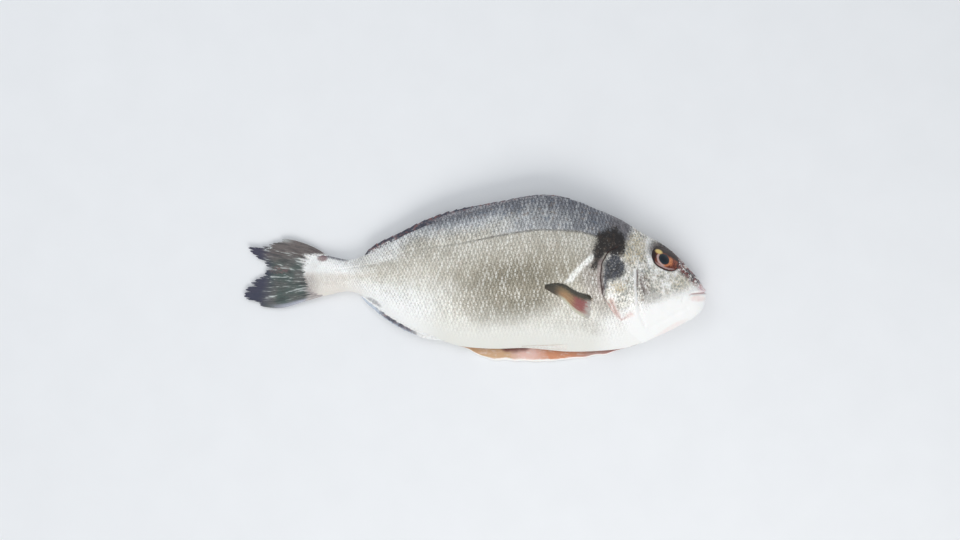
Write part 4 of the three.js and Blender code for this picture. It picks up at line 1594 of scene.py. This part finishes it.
class BREAM_OT_folded_fins(bpy.types.Operator):
    """Back fin and anal fin, folded down"""

    bl_idname = "bream.folded_fins"
    bl_label = "Folded fins"

    def execute(self, context):
        sizes, colours = context.scene.bream_sizes, context.scene.bream_colours
        make_folded(
            "dorsal_fin", DORSAL_EDGE, back, middle_z, inward=3.5, slant=16,
            spacing=sizes.back_rays / MM, material=back_fin_paint(colours),
        )
        make_folded(
            "anal_fin", ANAL_EDGE, belly, keel_z, inward=-1.2, slant=12,
            spacing=sizes.belly_rays / MM, material=anal_fin_paint(colours),
        )
        return {"FINISHED"}


class BREAM_OT_laid_fins(bpy.types.Operator):
    """Pectoral and pelvic fins, laid against the fish"""

    bl_idname = "bream.laid_fins"
    bl_label = "Laid fins"

    def execute(self, context):
        colours = context.scene.bream_colours
        side = {"rays": PECTORAL_RAYS, "material": pectoral_paint(colours)}
        pale = {"rays": PELVIC_RAYS, "material": pelvic_paint(colours)}
        make_laid(
            "pectoral_right", PECTORAL, skin_z, thick=0.35, lift=1.1, root_thick=0.9, sinks=0.13, **side
        )
        make_laid("pectoral_left", PECTORAL, surface_z, thick=0.3, **side)
        make_laid("pelvic_right", PELVIC, skin_z, thick=0.36, sinks=0.5, **pale)
        make_laid("pelvic_left", LOW_PELVIC, surface_z, thick=0.33, **pale)
        return {"FINISHED"}


class BREAM_OT_stage(bpy.types.Operator):
    """Pale floor, soft studio light and a camera that looks straight down"""

    bl_idname = "bream.stage"
    bl_label = "Stage"

    def execute(self, context):
        colours = context.scene.bream_colours
        make_floor(colours)
        make_lights()
        make_camera()
        return {"FINISHED"}


# ---- Stage ----

CAMERA_LENS = 85
CAMERA_SENSOR = 36
CAMERA_HEIGHT = 1.48
CAMERA_AT = (0.0039, 0.0058)
FLOOR_SIZE = 4
FLOOR_DROP = 0.0003
FLOOR_GRAIN = (243, 244, 246)
FLOOR_GRAIN_SIZE = 30.0

# Name, place, what it points at, size, power and tint.
LIGHTS = (
    ("key", (0.25, -0.9, 0.95), (0, 0, 0.02), (0.9, 0.7), 7.2, (1, 0.985, 0.96)),
    ("fill", (-0.5, 0.55, 1.1), (0, 0, 0.02), (1.0, 0.8), 3.6, (0.96, 0.98, 1)),
    ("top", (0.1, 0.0, 1.9), (0, 0, 0), (1.2, 1.2), 4.4, (1, 1, 1)),
)
SKY_TINT = (0.9, 0.95, 1, 1)
SKY_STRENGTH = 0.46


def make_floor(colours):
    half = FLOOR_SIZE / 2
    corners = [(-half, -half, 0), (half, -half, 0), (half, half, 0), (-half, half, 0)]
    mesh = bpy.data.meshes.new("floor")
    mesh.from_pydata(corners, [], [(0, 1, 2, 3)])
    p = Paint("floor_board", Roughness=0.8)
    grain = p.noise(p.place(), FLOOR_GRAIN_SIZE, 2.0, 0.5)
    mesh.materials.append(p.feed(Base_Color=p.mix(colours.floor, shade(*FLOOR_GRAIN), grain)))
    floor = bpy.data.objects.new("floor", mesh)
    floor.location.z = -FLOOR_DROP
    bpy.context.scene.collection.objects.link(floor)


def area_light(name, place, aim, size, power, tint):
    data = bpy.data.lights.new(name, "AREA")
    data.shape = "RECTANGLE"
    data.size, data.size_y = size
    data.energy = power
    data.color = tint
    light = bpy.data.objects.new(name, data)
    bpy.context.scene.collection.objects.link(light)
    light.location = place
    towards = np.array(aim, float) - np.array(place, float)
    yaw = math.atan2(towards[1], towards[0])
    pitch = math.atan2(math.hypot(towards[0], towards[1]), -towards[2])
    light.rotation_euler = (pitch, 0, yaw - math.pi / 2)


def make_lights():
    for light in LIGHTS:
        area_light(*light)
    world = bpy.data.worlds.new("studio")
    world.use_nodes = True
    sky = world.node_tree.nodes["Background"].inputs
    sky["Color"].default_value = SKY_TINT
    sky["Strength"].default_value = SKY_STRENGTH
    bpy.context.scene.world = world
    bpy.context.scene.view_settings.view_transform = "Standard"


def make_camera():
    data = bpy.data.cameras.new("camera")
    data.lens = CAMERA_LENS
    data.sensor_width = CAMERA_SENSOR
    camera = bpy.data.objects.new("camera", data)
    camera.location = (*CAMERA_AT, CAMERA_HEIGHT)
    bpy.context.scene.collection.objects.link(camera)
    bpy.context.scene.camera = camera


# ---- The add-on ----

STEPS = (
    BREAM_OT_skin, BREAM_OT_eyes, BREAM_OT_tail_fin, BREAM_OT_folded_fins,
    BREAM_OT_laid_fins, BREAM_OT_stage,
)


class BREAM_PT_panel(bpy.types.Panel):
    """Steps, sizes and colours of the bream"""

    bl_idname = "BREAM_PT_panel"
    bl_label = "Sea bream"
    bl_space_type = "VIEW_3D"
    bl_region_type = "UI"
    bl_category = "Sea bream"

    def draw(self, context):
        for step in STEPS:
            self.layout.operator(step.bl_idname)
        for group in (context.scene.bream_sizes, context.scene.bream_colours):
            column = self.layout.column()
            for name in group.__annotations__:
                column.prop(group, name)


CLASSES = (BreamSizes, BreamColours, *STEPS, BREAM_PT_panel)


def register():
    for each in CLASSES:
        bpy.utils.register_class(each)
    bpy.types.Scene.bream_sizes = bpy.props.PointerProperty(type=BreamSizes)
    bpy.types.Scene.bream_colours = bpy.props.PointerProperty(type=BreamColours)


def unregister():
    del bpy.types.Scene.bream_colours
    del bpy.types.Scene.bream_sizes
    for each in reversed(CLASSES):
        bpy.utils.unregister_class(each)


def main():
    register()
    bpy.ops.bream.skin()
    bpy.ops.bream.eyes()
    bpy.ops.bream.tail_fin()
    bpy.ops.bream.folded_fins()
    bpy.ops.bream.laid_fins()
    bpy.ops.bream.stage()


if __name__ == "__main__":
    main()
